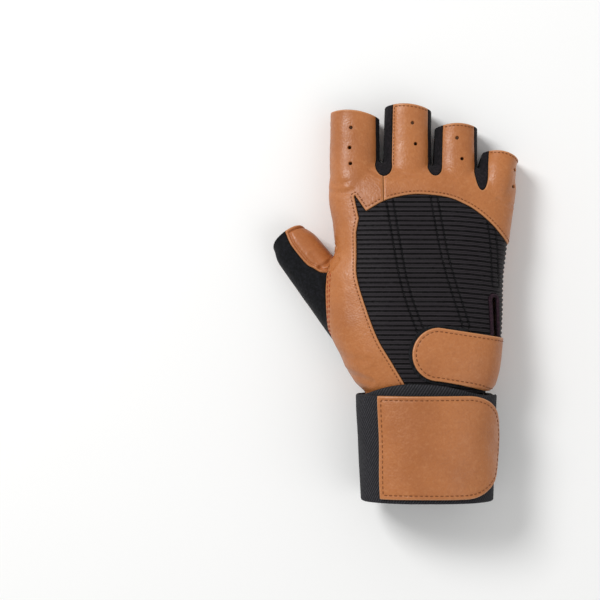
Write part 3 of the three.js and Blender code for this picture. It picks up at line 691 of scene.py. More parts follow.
def grid_surface(points: Array) -> Surface:
    """A surface from a grid of points, facing up where rows turn left into columns.

    Args:
        points: The grid, rows by columns by three.

    Returns:
        The surface.
    """
    rows, columns = points.shape[:2]
    quads = grid_quads(np.arange(rows * columns).reshape(rows, columns))
    faces = np.vstack([quads[:, [0, 1, 2]], quads[:, [0, 2, 3]]])
    down, across = np.gradient(points, axis=0), np.gradient(points, axis=1)
    normals = unit(np.cross(across, down)).reshape(-1, 3)
    return Surface(points.reshape(-1, 3), normals, faces)


class Kind(Enum):
    """What a panel is made of, as far as its edges go."""

    LEATHER = "leather"
    PAD = "pad"
    RIBBED = "ribbed"
    STRETCH = "stretch"
    BINDING = "binding"
    OPEN = "open"


@dataclass(frozen=True)
class Profile:
    """How a sheet ends at a seam: the edge's height over the skin, and the width of its rounding."""

    height: float
    radius: float
    lip: float = 0.0


HEM = Profile(0.0, 1.0, 0.12)
TURNED = Profile(-0.1, 1.3)
PADDED = Profile(-0.55, 2.1)
LAPPED = Profile(-0.4, 0.9, 0.15)
TUCKED = Profile(-0.4, 0.7)
PUNCHED = Profile(-0.2, 0.35)


def profile_between(own: Kind, other: Kind) -> Profile:
    """The way that one material ends against another."""
    if other is Kind.OPEN:
        return HEM
    if own is Kind.PAD and other is Kind.PAD:
        return PADDED
    leather = (Kind.LEATHER, Kind.PAD)
    if own in leather:
        return TURNED if other in leather else LAPPED
    return TUCKED


class Thread(Enum):
    """The colours of sewing thread."""

    BROWN = "brown_thread"
    BRICK = "brick_thread"
    BLACK = "black_thread"


@dataclass(frozen=True)
class Row:
    """A row of stitches along a seam, at a distance from it. Without thread it is only a groove."""

    panel: str
    beside: tuple[str, ...]
    away: float
    thread: Thread | None
    pitch: float = 2.7
    low_y: float = -1e3
    high_y: float = 1e3
    groove: float = 0.14


@dataclass(frozen=True)
class Crease:
    """A soft fold in a panel, drawn on the glove as seen from above."""

    line: tuple[tuple[float, float], ...]
    depth: float
    width: float
    over: bool = True

    def relief(self, points: Array, above: Array) -> Array:
        """The fold's groove and the swelling beside it, in millimetres."""
        away = np.abs(line_distance(points, spline(self.line))) / self.width
        lip = 0.45 * bell(away - 2.0, 0.9)
        facing = soft_step((above if self.over else -above) / 3)
        return self.depth * (lip - bell(away, 1.0)) * facing


@dataclass
class Sheet:
    """A panel with its own thickness, built on a surface that was cut to its outline."""

    surface: Surface
    top: float = 1.0
    bottom: float = -0.3
    hem_fold: float = 0.6
    seams: dict[str, Profile] = field(default_factory=dict)

    def measure(self, ends: Array, beside: Array, names: dict[int, str]) -> None:
        """Notes how far each point is from the seams with each neighbour.

        Args:
            ends: The two points of each edge of the outline.
            beside: The panel on the other side of each edge.
            names: The name of each panel; a missing one is a hem.
        """
        for number in np.unique(beside):
            chosen = ends[beside == number]
            start, stop = self.surface.points[chosen[:, 0]], self.surface.points[chosen[:, 1]]
            steps = np.linspace(0, 1, 5)
            samples = (start[:, None] + (stop - start)[:, None] * steps[None, :, None]).reshape(-1, 3)
            tree = point_tree(samples)
            away = np.array([tree.find(point)[2] for point in self.surface.points])
            away[np.unique(chosen)] = 0.0
            self.surface.values[names.get(int(number), "hem")] = away

    def shape(self, rows: Iterable[Row] = ()) -> None:
        """Cuts rings beside the seams and rows of stitches, and works out the heights there."""
        surface = self.surface
        for name, profile in self.seams.items():
            rings = [profile.radius * share for share in (0.12, 0.4, 1.0)]
            surface.cut_levels(name, rings)
        for row in rows:
            name = self.gather(row)
            surface.cut_levels(name, [row.away - 0.55, row.away, row.away + 0.55])
        top = np.full(len(surface.points), self.top)
        bottom = np.full(len(surface.points), self.bottom)
        nearest = np.full(len(surface.points), FAR_AWAY)
        for name, profile in self.seams.items():
            away = surface.values[name]
            if profile is not PUNCHED:
                nearest = np.minimum(nearest, away)
            round_off = rounding(away / profile.radius)
            lip = profile.lip * bell(away - profile.radius, 0.6)
            top = np.minimum(top, profile.height + (self.top - profile.height) * round_off + lip)
            if profile is HEM:
                floor = self.bottom - self.hem_fold * (1 - soft_step(away - 6))
                bottom = np.minimum(bottom, floor)
        for name, profile in self.seams.items():
            away = surface.values[name]
            round_off = rounding(away / profile.radius)
            bottom = np.maximum(bottom, profile.height + (bottom - profile.height) * round_off)
        for row in rows:
            away = surface.values[self.gather(row)]
            top -= row.groove * bell(away - row.away, 0.5) * soft_step(nearest / 0.8)
        surface.values["top"], surface.values["bottom"] = top, bottom
        surface.values["edge"] = nearest

    def gather(self, row: Row) -> str:
        """Names the distance to the seams that a row of stitches follows, and makes it if needed."""
        name = "+".join(row.beside)
        if name not in self.surface.values:
            known = [self.surface.values[key] for key in row.beside if key in self.surface.values]
            self.surface.values[name] = np.min(known, axis=0)
        return name

    def raise_top(self, amount: Array) -> None:
        """Adds relief to the outer face, eased off at the edges."""
        self.surface.values["top"] = self.surface.values["top"] + amount * soft_step(
            self.surface.values["edge"] / 1.2
        )

    def outer(self) -> Array:
        """The outer face's points."""
        values = self.surface.values["top"][:, None]
        points = self.surface.points + self.surface.normals * values
        points[:, 2] = np.maximum(points[:, 2], 0.04)
        return points

    def build(self) -> tuple[Array, Array, Array, Array]:
        """Closes the sheet with an inner face.

        Returns:
            Points, triangles, the material of each triangle, and the edge value of each point.
        """
        surface = self.surface
        count = len(surface.points)
        outer = self.outer()
        thick = np.minimum(surface.values["bottom"], surface.values["top"] - 0.15)
        inner = surface.points + surface.normals * thick[:, None]
        inner[:, 2] = np.maximum(inner[:, 2], 0.12)
        start, end = surface.faces, np.roll(surface.faces, -1, axis=1)
        keys = edge_keys(surface.faces, count).ravel()
        _, index, times = np.unique(keys, return_inverse=True, return_counts=True)
        single = times[index.ravel()] == 1
        rim = np.zeros(count, bool)
        rim[start.ravel()[single]] = True
        rim[end.ravel()[single]] = True
        number = np.where(rim, np.arange(count), count + np.cumsum(~rim) - 1)
        points = np.vstack([outer, inner[~rim]])
        faces = np.vstack([surface.faces, number[surface.faces][:, ::-1]])
        inside = np.repeat([0, 1], len(surface.faces))
        bare = ~((faces[:, 0] == faces[:, 1]) | (faces[:, 1] == faces[:, 2]))
        edge = np.concatenate([surface.values["edge"], surface.values["edge"][~rim]])
        return points, faces[bare], inside[bare], edge


def lone_sheet(surface: Surface, value: Array, *heights: float) -> Sheet:
    """Cuts a sheet out of a surface, inside the line where a value is zero, with hems all round."""
    value = surface.cut(value)
    sheet = Sheet(surface.keep(surface.side(value)), *heights)
    ends, sides = sheet.surface.rim()
    sheet.measure(ends, sides[:, 1], {})
    return sheet


def chains(surface: Surface, value: Array, places: Array) -> list[tuple[Array, Array]]:
    """Follows the line where a value crosses zero over a surface.

    Args:
        surface: The surface.
        value: One number for each point.
        places: Where the surface's points lie once it has its relief.

    Returns:
        Each line's points and normals, in order.
    """
    value = np.where(value == 0, 1e-5, value)
    sign = value[surface.faces] > 0
    rows = surface.faces[sign.any(axis=1) & ~sign.all(axis=1)]
    start, end = rows, np.roll(rows, -1, axis=1)
    hit = (value[start] > 0) != (value[end] > 0)
    count = len(surface.points)
    keys = edge_keys(rows, count)
    edges, index = np.unique(keys[hit], return_inverse=True)
    low, high = edges // count, edges % count
    t = (value[low] / (value[low] - value[high]))[:, None]
    points = places[low] + (places[high] - places[low]) * t
    normals = unit(surface.normals[low] + (surface.normals[high] - surface.normals[low]) * t)
    links = index.reshape(-1, 2)
    beside: dict[int, list[int]] = {}
    for a, b in links.tolist():
        beside.setdefault(a, []).append(b)
        beside.setdefault(b, []).append(a)
    lines, seen = [], set()
    ends = [node for node, near in beside.items() if len(near) == 1]
    for first in [*ends, *beside]:
        if first in seen:
            continue
        walk, node = [first], first
        seen.add(first)
        while True:
            after = [near for near in beside[node] if near not in seen]
            if not after:
                break
            node = after[0]
            seen.add(node)
            walk.append(node)
        if len(walk) > 1 and first in beside[walk[-1]] and len(walk) > 2:
            walk.append(first)
        lines.append((points[walk], normals[walk]))
    return lines


@dataclass
class Sewing:
    """All the stitches of one thread, as short bent rods."""

    thread: Thread
    radius: float = 0.27
    places: list[Array] = field(default_factory=list)

    def rod(self) -> tuple[Array, Array]:
        """Points and triangles of one stitch of length 1 along x, which dips in at both ends."""
        sides, at = 6, np.array([-0.5, -0.36, 0.0, 0.36, 0.5])
        wide = np.array([0.45, 0.95, 1.0, 0.95, 0.45]) * self.radius
        angle = np.arange(sides) / sides * 2 * math.pi
        rings = []
        for share, radius in zip(at, wide):
            sink = 0.1 - 1.1 * self.radius * (2 * share) ** 4
            y, z = radius * np.cos(angle), sink + radius * np.sin(angle)
            rings.append(np.column_stack([np.full(sides, share), y, z]))
        points = np.vstack(rings)
        faces = []
        for ring in range(len(at) - 1):
            for i in range(sides):
                a, b = ring * sides + i, ring * sides + (i + 1) % sides
                faces += [(a, b + sides, b), (a, a + sides, b + sides)]
        last = (len(at) - 1) * sides
        for i in range(1, sides - 1):
            faces += [(0, i, i + 1), (last, last + i + 1, last + i)]
        return points, np.array(faces)

    def sew(self, lines: list[tuple[Array, Array]], pitch: float, keep: Callable | None = None) -> None:
        """Lays stitches at an even pitch along lines.

        Args:
            lines: Points and normals of each line.
            pitch: From one stitch to the next.
            keep: Tells which middle points get a stitch.
        """
        for points, normals in lines:
            length = run_length(points)
            if length[-1] < pitch:
                continue
            count = int(length[-1] / pitch)
            middle = (np.arange(count) + 0.5) * length[-1] / count
            reach = 0.36 * pitch

            def at(distance: Array) -> Array:
                """Points at distances along the line."""
                return read_along(distance, length, points)

            centre, along = at(middle), unit(at(middle + reach) - at(middle - reach))
            up = read_along(middle, length, normals)
            up = unit(up - along * (up * along).sum(axis=1, keepdims=True))
            chosen = np.ones(count, bool) if keep is None else keep(centre)
            size = np.full((count, 3), 2 * reach)
            self.places.append(np.stack([centre, along, up, size], axis=1)[chosen])

    def build(self) -> tuple[Array, Array]:
        """Points and triangles of all the stitches."""
        places = np.concatenate(self.places)
        template, faces = self.rod()
        side = np.cross(places[:, 2], places[:, 1])
        points = (
            places[:, None, 0]
            + template[None, :, :1] * (places[:, None, 1] * places[:, None, 3])
            + template[None, :, 1:2] * side[:, None]
            + template[None, :, 2:] * places[:, None, 2]
        )
        points[..., 2] = np.maximum(points[..., 2], 0.02)
        shift = np.arange(len(places)) * len(template)
        return points.reshape(-1, 3), (faces[None] + shift[:, None, None]).reshape(-1, 3)


def linear_colour(code: str) -> tuple[float, float, float, float]:
    """Turns an sRGB hex colour into linear red, green, blue and alpha."""
    shares = [int(code[i : i + 2], 16) / 255 for i in (1, 3, 5)]
    red, green, blue = (s / 12.92 if s <= 0.04045 else ((s + 0.055) / 1.055) ** 2.4 for s in shares)
    return red, green, blue, 1.0


def add_node(
    tree: bpy.types.NodeTree, kind: str, inputs: dict[str | int, object] | None = None, **settings: object
) -> bpy.types.Node:
    """Adds a node to a material.

    Args:
        tree: The material's node tree.
        kind: The node's type.
        inputs: What goes into its sockets, a value or another node's output.
        settings: The node's own settings.

    Returns:
        The node.
    """
    node = tree.nodes.new(kind)
    for name, value in settings.items():
        setattr(node, name, value)
    for name, value in (inputs or {}).items():
        if isinstance(value, Socket):
            tree.links.new(value, node.inputs[name])
        else:
            node.inputs[name].default_value = value
    return node


class Dye:
    """Node recipes that several finishes share."""

    def __init__(self, name: str) -> None:
        """Starts a material with an empty tree and the object's own coordinates."""
        self.material = bpy.data.materials.new(name)
        self.material.use_nodes = True
        self.tree = self.material.node_tree
        self.tree.nodes.clear()
        self.place = add_node(self.tree, "ShaderNodeTexCoord").outputs["Object"]

    def noise(self, size_mm: float, detail: float = 2.0, roughness: float = 0.5) -> Socket:
        """Noise whose bumps are a given distance apart."""
        inputs = {"Vector": self.place, "Scale": 1000 / size_mm, "Detail": detail, "Roughness": roughness}
        return add_node(self.tree, "ShaderNodeTexNoise", inputs).outputs["Fac"]

    def cells(self, size_mm: float) -> Socket:
        """Rounded cells of a given size, 0 at their middles."""
        inputs = {"Vector": self.place, "Scale": 1000 / size_mm}
        node = add_node(self.tree, "ShaderNodeTexVoronoi", inputs, feature="SMOOTH_F1")
        return node.outputs["Distance"]

    def remap(self, value: Socket, low: float, high: float, new_low: float, new_high: float) -> Socket:
        """Stretches a range of values to another, smoothly and without running past it."""
        inputs = {"Value": value, 1: low, 2: high, 3: new_low, 4: new_high}
        node = add_node(self.tree, "ShaderNodeMapRange", inputs, interpolation_type="SMOOTHSTEP")
        return node.outputs["Result"]

    def maths(self, operation: str, *values: Socket | float) -> Socket:
        """One arithmetic step."""
        inputs = dict(enumerate(values))
        return add_node(self.tree, "ShaderNodeMath", inputs, operation=operation).outputs[0]

    def blend(self, share: Socket, first: Socket | str, second: Socket | str) -> Socket:
        """Mixes two colours."""
        colours = [linear_colour(c) if isinstance(c, str) else c for c in (first, second)]
        inputs = {"Factor": share, 6: colours[0], 7: colours[1]}
        return add_node(self.tree, "ShaderNodeMix", inputs, data_type="RGBA").outputs[2]

    def attribute(self, name: str) -> Socket:
        """A value stored on the mesh's points."""
        return add_node(self.tree, "ShaderNodeAttribute", attribute_name=name).outputs["Fac"]

    def bump(self, height: Socket, depth_mm: float, normal: Socket | None = None) -> Socket:
        """Relief of a given depth, on top of other relief."""
        inputs: dict[str | int, object] = {"Height": height, "Distance": depth_mm * MM, "Strength": 1.0}
        if normal is not None:
            inputs["Normal"] = normal
        return add_node(self.tree, "ShaderNodeBump", inputs).outputs["Normal"]

    def finish(self, **sockets: object) -> Material:
        """Closes the material with a principled shader whose sockets are given by name."""
        named = {name.replace("_", " "): value for name, value in sockets.items()}
        shader = add_node(self.tree, "ShaderNodeBsdfPrincipled", named)
        add_node(self.tree, "ShaderNodeOutputMaterial", {"Surface": shader.outputs["BSDF"]})
        return self.material


@dataclass(frozen=True)
class GlazedLeather:
    """Full-grain cowhide, drum dyed tan and lightly glazed.

    It gives a soft broad gloss over a fine grain, with paler edges where it is folded and rubbed, and
    faint clouds where the dye sits deeper. Right along each seam line it is painted dark brown as
    painted shade.
    """

    name: str
    base: str
    pale: str
    deep: str
    grain_mm: float = 1.0  # real pores are about 0.5 mm apart, too fine to show
    rub_mm: float = 1.2

    def material(self) -> Material:
        """Builds the material."""
        dye = Dye(self.name)
        cloudy = dye.remap(dye.noise(34.0, 2.0), 0.38, 0.7, 0.0, 0.45)
        colour = dye.blend(cloudy, self.base, self.deep)
        colour = dye.blend(dye.remap(dye.noise(2.4, 4.0, 0.6), 0.45, 0.8, 0.0, 0.22), colour, self.pale)
        grain = dye.cells(self.grain_mm)
        colour = dye.blend(dye.remap(grain, 0.35, 0.8, 0.0, 0.22), colour, self.deep)
        rubbed = dye.remap(dye.attribute("edge"), 0.3, self.rub_mm, 0.5, 0.0)
        colour = dye.blend(rubbed, colour, self.pale)
        # Painted shade: the colour turns dark brown within 0.3 mm of each seam line, where the leather dips
        # into the seam.
        painted_seam_shade = dye.remap(dye.attribute("edge"), 0.0, 0.3, 0.8, 0.0)
        colour = dye.blend(painted_seam_shade, colour, "#3C1D0E")
        rough = dye.remap(dye.noise(5.0, 3.0), 0.3, 0.7, 0.36, 0.5)
        normal = dye.bump(dye.maths("MULTIPLY", grain, -1.0), 0.12)
        normal = dye.bump(dye.noise(2.2, 5.0, 0.6), 0.12, normal)
        return dye.finish(Base_Color=colour, Roughness=rough, Normal=normal, IOR=1.5)


@dataclass(frozen=True)
class SuedeInside:
    """The flesh side of the same hide, left raw: a dull, fuzzy brown."""

    name: str = "raw_suede_inside"

    def material(self) -> Material:
        """Builds the material."""
        dye = Dye(self.name)
        colour = dye.blend(dye.remap(dye.noise(1.6, 4.0), 0.35, 0.7, 0.0, 1.0), "#5C3B25", "#7A5236")
        normal = dye.bump(dye.noise(0.9, 3.0), 0.3)
        return dye.finish(Base_Color=colour, Normal=normal, Roughness=0.95, Sheen_Weight=0.2)


@dataclass(frozen=True)
class RibbedKnit:
    """Warp-knit nylon with cross ribs and finer ribs on them: black, with painted highlight in dull grey on
    the rib tops and painted shade in the rib valleys and stitched column grooves.
    """

    name: str = "ribbed_stretch_nylon"
    loop_mm: float = 0.55

    def material(self) -> Material:
        """Builds the material."""
        dye = Dye(self.name)
        # Painted highlight on the rib tops and painted shade in the rib valleys, read from the stored share.
        crest = dye.remap(dye.attribute("crest"), 0.35, 1.0, 0.0, 1.0)
        # The finer ribs: their wave bumps the normal and, as painted shade, darkens the colour along their
        # grooves at phases 0 and 0.5.
        fine = dye.maths("COSINE", dye.maths("MULTIPLY", dye.attribute("phase"), 4 * math.pi))
        crest = dye.maths("MULTIPLY", crest, dye.remap(fine, -0.6, 0.8, 1.0, 0.3))
        colour = dye.blend(crest, "#050405", "#332E32")
        colour = dye.blend(dye.remap(dye.noise(2.2, 3.0), 0.4, 0.75, 0.0, 0.25), colour, "#2B272B")
        normal = dye.bump(dye.maths("MULTIPLY", fine, -1.0), 0.08)
        normal = dye.bump(dye.cells(self.loop_mm), 0.1, normal)
        return dye.finish(Base_Color=colour, Normal=normal, Roughness=0.55, Specular_IOR_Level=0.14)


@dataclass(frozen=True)
class PlainStretch:
    """Close stretch cloth, napped loop fabric or tape: nearly black, with a faint bloom."""

    name: str
    dark: str = "#0C0B0E"
    light: str = "#211C21"
    loop_mm: float = 0.7
    depth_mm: float = 0.14

    def material(self) -> Material:
        """Builds the material."""
        dye = Dye(self.name)
        speckle = dye.remap(dye.noise(2 * self.loop_mm, 4.0, 0.7), 0.38, 0.68, 0.0, 1.0)
        colour = dye.blend(speckle, self.dark, self.light)
        normal = dye.bump(dye.cells(self.loop_mm), self.depth_mm)
        normal = dye.bump(dye.noise(self.loop_mm * 3, 4.0, 0.7), 2 * self.depth_mm, normal)
        return dye.finish(
            Base_Color=colour, Normal=normal, Roughness=0.85, Specular_IOR_Level=0.2, Sheen_Weight=0.03
        )


@dataclass(frozen=True)
class TwillElastic:
    """Cotton-covered rubber webbing, woven as a twill: dark grey with fine slanting lines."""

    name: str = "woven_twill_elastic"
    line_mm: float = 1.25
    slant: float = 58.0

    def material(self) -> Material:
        """Builds the material."""
        dye = Dye(self.name)
        uv = add_node(dye.tree, "ShaderNodeUVMap", uv_map="band").outputs["UV"]
        parts = add_node(dye.tree, "ShaderNodeSeparateXYZ", {"Vector": uv})
        turn = 2 * math.pi / self.line_mm
        slant = math.radians(self.slant)
        across = dye.maths("MULTIPLY", parts.outputs["X"], turn * math.sin(slant))
        along = dye.maths("MULTIPLY", parts.outputs["Y"], turn * math.cos(slant))
        wobble = dye.maths("MULTIPLY", dye.noise(9.0), 2.2)
        phase = dye.maths("ADD", dye.maths("SUBTRACT", across, along), wobble)
        line = dye.remap(dye.maths("SINE", phase), -1.0, 1.0, 0.0, 1.0)
        pick = dye.maths("SINE", dye.maths("MULTIPLY", parts.outputs["Y"], 2 * math.pi / 0.9))
        height = dye.maths("MULTIPLY_ADD", pick, 0.18, line)
        shade = dye.maths("MULTIPLY", line, dye.remap(dye.noise(1.3, 4.0), 0.3, 0.7, 0.45, 1.0))
        colour = dye.blend(shade, "#1B1B1E", "#3B3A3E")
        normal = dye.bump(height, 0.14)
        return dye.finish(Base_Color=colour, Normal=normal, Roughness=0.85, Specular_IOR_Level=0.2)


@dataclass(frozen=True)
class SewingThread:
    """Bonded polyester thread: twisted, with a little gloss."""

    name: str
    colour: str
    bright: str

    def material(self) -> Material:
        """Builds the material."""
        dye = Dye(self.name)
        colour = dye.blend(dye.remap(dye.noise(1.1, 2.0), 0.3, 0.7, 0.0, 1.0), self.colour, self.bright)
        return dye.finish(Base_Color=colour, Roughness=0.75, Specular_IOR_Level=0.15)


class Wardrobe:
    """Every finish of the glove, made once."""

    def __init__(self) -> None:
        """Makes the materials, by the record's slot names."""
        finishes = {
            "tan_leather": GlazedLeather("glazed_tan_cowhide", "#B06C39", "#CF9464", "#905024"),
            "palm_leather": GlazedLeather("glazed_palm_cowhide", "#AB6635", "#C88856", "#894A20"),
            "suede": SuedeInside(),
            "ribbed_stretch": RibbedKnit(),
            "gusset_stretch": PlainStretch("jersey_stretch_gusset"),
            "thumb_cloth": PlainStretch("brushed_terry_stretch", "#050608", "#14151A", 0.9, 0.18),
            "loop_fabric": PlainStretch("napped_loop_fabric", "#0C0C0E", "#222226", 0.8, 0.3),
            "binding_tape": PlainStretch("folded_binding_tape", "#1C0E16", "#36202C", 0.6, 0.1),
            "wrap_elastic": TwillElastic(),
            "brown_thread": SewingThread("brown_bonded_thread", "#6B3D22", "#8F5B37"),
            "brick_thread": SewingThread("brick_bonded_thread", "#7E2A1A", "#B04A30"),
            "black_thread": SewingThread("black_bonded_thread", "#08080A", "#1D1C20"),
        }
        self.materials = {slot: finish.material() for slot, finish in finishes.items()}

    def __getitem__(self, slot: str) -> Material:
        """The material of a slot."""
        return self.materials[slot]


@dataclass
class Workshop:
    """Turns finished shapes into pieces that ride on the frame."""

    wardrobe: Wardrobe
    shift: Array
    most_faces: int = 185000

    def piece(
        self,
        name: str,
        points: Array,
        faces: Array,
        slot: str,
        inside: str | None = None,
        material: Array | None = None,
        attributes: dict[str, Array] | None = None,
        uv: Array | None = None,
        replaces: tuple[str, ...] = (),
    ) -> bpy.types.Object:
        """Makes one piece.

        Args:
            name: The piece's name.
            points: Its points in millimetres.
            faces: Its triangles or quads.
            slot: The record's material slot.
            inside: The slot of its second material.
            material: Which of the two each face takes.
            attributes: Values stored on its points.
            uv: Flat coordinates of its points, in millimetres.
            replaces: The solids that it stands for.

        Returns:
            The piece's object.
        """
        mesh = bpy.data.meshes.new(name)
        mesh.from_pydata(((points + self.shift) * MM).tolist(), [], faces.tolist())
        for key, values in (attributes or {}).items():
            layer = mesh.attributes.new(key, "FLOAT", "POINT")
            layer.data.foreach_set("value", np.asarray(values, np.float32))
        if uv is not None:
            layer = mesh.uv_layers.new(name="band")
            corner = np.empty(len(mesh.loops), np.int32)
            mesh.loops.foreach_get("vertex_index", corner)
            layer.data.foreach_set("uv", np.asarray(uv, np.float32)[corner].ravel())
        for used in filter(None, (slot, inside)):
            mesh.materials.append(self.wardrobe[used])
        if material is not None:
            mesh.polygons.foreach_set("material_index", np.asarray(material, np.int32))
        mesh.shade_smooth()
        mesh.update()
        piece = bpy.data.objects.new(name, mesh)
        bpy.context.collection.objects.link(piece)
        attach(piece, "root")
        if replaces:
            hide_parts(*replaces)
        LOG.info("%s: %d faces", name, len(faces))
        return piece

    def sheet(self, sheet: Sheet, slot: str, node: str, inside: str = "suede") -> bpy.types.Object:
        """Makes the piece of a sheet that stands for a solid.

        Where a piece has too many faces, its inner face is thinned, because it hardly shows.
        """
        points, faces, material, edge = sheet.build()
        extra = {"edge": edge}
        spare = np.zeros(len(points) - len(sheet.surface.points))
        # The first key carries the ribbed back's painted highlight and shade; phase carries the ribs' phase.
        for key in ("crest", "phase"):
            if key in sheet.surface.values:
                extra[key] = np.concatenate([sheet.surface.values[key], spare])
        made = self.piece(
            f"{node}_sewn", points, faces, slot, inside, material, extra, replaces=(node,)
        )
        if len(faces) > self.most_faces:
            group = made.vertex_groups.new(name="inner_face")
            group.add(list(range(len(sheet.surface.points), len(points))), 1.0, "REPLACE")
            thin = made.modifiers.new("thin_inner_face", "DECIMATE")
            thin.ratio = self.most_faces / len(faces)
            thin.vertex_group = group.name
        return made


@dataclass
class GloveShell:
    """The sewn shell of the glove: every panel from the wrist to the hems."""

    form: HandForm
    voxel: float = 1.0
    rounds: int = 14
    gusset_right: float = 2.9
    gusset_left: float = 4.6
    gusset_drop: float = 7.0
    gusset_drop_palm: float = 11.0
    slit_start: float = 8.0
    slit_length: float = 43.0
    slit_height: float = 31.0
    slit_tilt: float = 30.0
    slit_half: float = 1.5
    slit_depth: float = 0.6
    binding: float = 1.9
    rib_pitch: float = 2.56
    rib_shoulder: float = 0.36
    rib_depth: float = 0.6
    rib_droop: float = 0.0022
    droop_from: float = 5.0
    half_column: float = 1.85
    column_pitch: float = 2.5
    stretch_rise: float = 8.0
    seam_drop: float = 4.0
    seam_blend: float = 4.0
    gusset_blend: float = 3.0
    hole_radius: float = 0.85
    names: list[str] = field(default_factory=list)
    cloth_top: dict[str, float] = field(
        default_factory=lambda: {"ribbed": 0.35, "thumb": 0.8, "gusset": 1.0, "slit": 1.25}
    )

    # How deep each gusset's bowl reaches, as a share of gusset_drop.
    GUSSET_DEPTHS = (1.0, 1.0, 2.1)
    BACKS = ("index_back_leather", "knuckle_yoke")
    PADS = (
        "index_front",
        "middle_front",
        "ring_front",
        "little_front",
        "knuckle_pad",
        "palm_panel",
        "thenar_band",
        "thenar_panel",
        "heel_panel",
        "thumb_leather",
    )
    BACK_HOLES = (
        (-40.6, 202.2),
        (-41.3, 191.2),
        (-40.9, 182.4),
        (-7.2, 204.8),
        (-5.6, 193.3),
        (17.1, 196.6),
        (19.6, 185.1),
        (48.2, 179.4),
        (47.2, 170.3),
    )
    PALM_HOLES = ((-38.5, 190.7), (-38.8, 180.1), (-9.0, 193.0), (-9.3, 181.9), (17.2, 180.1), (41.6, 171.4))
    # Stitched columns of the back: middle lines as shares of half the palm's width and its length.
    COLUMNS = (
        ((-0.405, 0.88), (-0.276, 0.55), (-0.21, 0.432), (-0.148, 0.354), (-0.06, 0.259)),
        ((0.06, 0.9), (0.15, 0.668), (0.212, 0.55), (0.295, 0.432), (0.356, 0.354), (0.4, 0.294)),
        ((0.648, 0.8), (0.70, 0.649), (0.718, 0.473)),
    )

    # Folds that the photograph shows: at the thumb's root, the knuckle, the crotches and the heel.
    CREASES = (
        Crease(((-50.2, 132.6), (-53.0, 128.5), (-57.4, 126.0)), 0.9, 1.0),
        Crease(((-47.0, 130.2), (-49.5, 126.4), (-52.5, 123.2)), 0.6, 0.9),
        Crease(((-62.0, 133.0), (-58.5, 129.0), (-57.4, 126.0)), 0.35, 1.2),
        Crease(((-52.1, 167.4), (-46.0, 166.2), (-40.0, 167.2)), 0.35, 1.5),
        Crease(((-49.0, 171.5), (-43.0, 171.9)), 0.22, 1.2),
        Crease(((-30.5, 178.5), (-26.5, 176.3), (-22.7, 175.5)), 0.4, 0.9),
        Crease(((-18.6, 173.8), (-12.8, 175.6), (-7.5, 175.2)), 0.35, 0.9),
        Crease(((10.0, 172.2), (16.0, 173.6)), 0.25, 0.9),
        Crease(((38.5, 163.0), (42.5, 160.5), (47.5, 160.2)), 0.35, 1.0),
        Crease(((-45.5, 70.5), (-38.0, 68.2), (-29.5, 64.6)), 0.5, 1.5),
        Crease(((-49.0, 80.0), (-42.0, 77.5), (-33.0, 76.5)), 0.28, 1.8),
        Crease(((-50.0, 118.0), (-47.5, 104.0), (-47.8, 92.0)), 0.2, 2.2),
        Crease(((-47.5, 176.0), (-39.0, 180.2), (-28.5, 181.2)), 0.6, 1.0, False),
        Crease(((-18.5, 178.9), (-9.0, 180.6), (-1.8, 177.9)), 0.5, 1.0, False),
        Crease(((8.5, 178.0), (16.5, 179.9), (24.0, 177.0)), 0.45, 0.9, False),
        Crease(((-50.0, 122.0), (-47.2, 126.0), (-45.4, 130.5)), 0.7, 1.0, False),
        Crease(((-17.5, 64.2), (-13.8, 66.2), (-11.0, 69.6)), 0.7, 1.2, False),
        Crease(((-8.5, 66.0), (-7.4, 62.0), (-6.2, 58.2)), 0.8, 1.2, False),
        Crease(((-26.0, 62.0), (-24.5, 66.0)), 0.5, 1.2, False),
        Crease(((-30.0, 112.0), (-22.0, 104.0), (-17.0, 92.0)), 0.25, 2.0, False),
    )

    def kind(self, name: str) -> Kind:
        """What a panel is made of."""
        if name in self.BACKS:
            return Kind.LEATHER
        if name in self.PADS:
            return Kind.PAD
        known = {"ribbed_back": Kind.RIBBED, "slit_binding": Kind.BINDING, "hole": Kind.OPEN}
        return known.get(name, Kind.OPEN if name == "hem" else Kind.STRETCH)

    def grow(self) -> Surface:
        """Joins the hand's tubes into one smooth skin."""
        points: list[list[float]] = []
        faces: list[list[int]] = []
        tubes = [self.form.palm(), self.form.thumb(), *map(self.form.stall, FINGERS)]
        for rings in tubes:
            start, count = len(points), len(rings[0])
            points += np.vstack(rings).tolist()
            for ring in range(len(rings) - 1):
                base = start + ring * count
                for i in range(count):
                    j = (i + 1) % count
                    faces.append([base + i, base + j, base + count + j, base + count + i])
            faces.append([start + i for i in range(count)][::-1])
            faces.append([len(points) - count + i for i in range(count)])
        mesh = bpy.data.meshes.new("hand_form")
        mesh.from_pydata(points, [], faces)
        body = bpy.data.objects.new("hand_form", mesh)
        bpy.context.collection.objects.link(body)
        bpy.ops.object.select_all(action="DESELECT")
        body.select_set(True)
        bpy.context.view_layer.objects.active = body
        bpy.ops.object.mode_set(mode="EDIT")
        bpy.ops.mesh.select_all(action="SELECT")
        bpy.ops.mesh.normals_make_consistent(inside=False)
        bpy.ops.object.mode_set(mode="OBJECT")
        remesh = body.modifiers.new("skin", "REMESH")
        remesh.mode = "VOXEL"
        remesh.voxel_size = self.voxel
        relax = body.modifiers.new("relax", "SMOOTH")
        relax.iterations = self.rounds
        relax.factor = 0.5
        for modifier in ("skin", "relax"):
            bpy.ops.object.modifier_apply(modifier=modifier)
        mesh = body.data
        mesh.calc_loop_triangles()
        places = np.empty(len(mesh.vertices) * 3, np.float32)
        mesh.vertices.foreach_get("co", places)
        normals = np.empty(len(mesh.vertices) * 3, np.float32)
        mesh.vertices.foreach_get("normal", normals)
        triangles = np.empty(len(mesh.loop_triangles) * 3, np.int32)
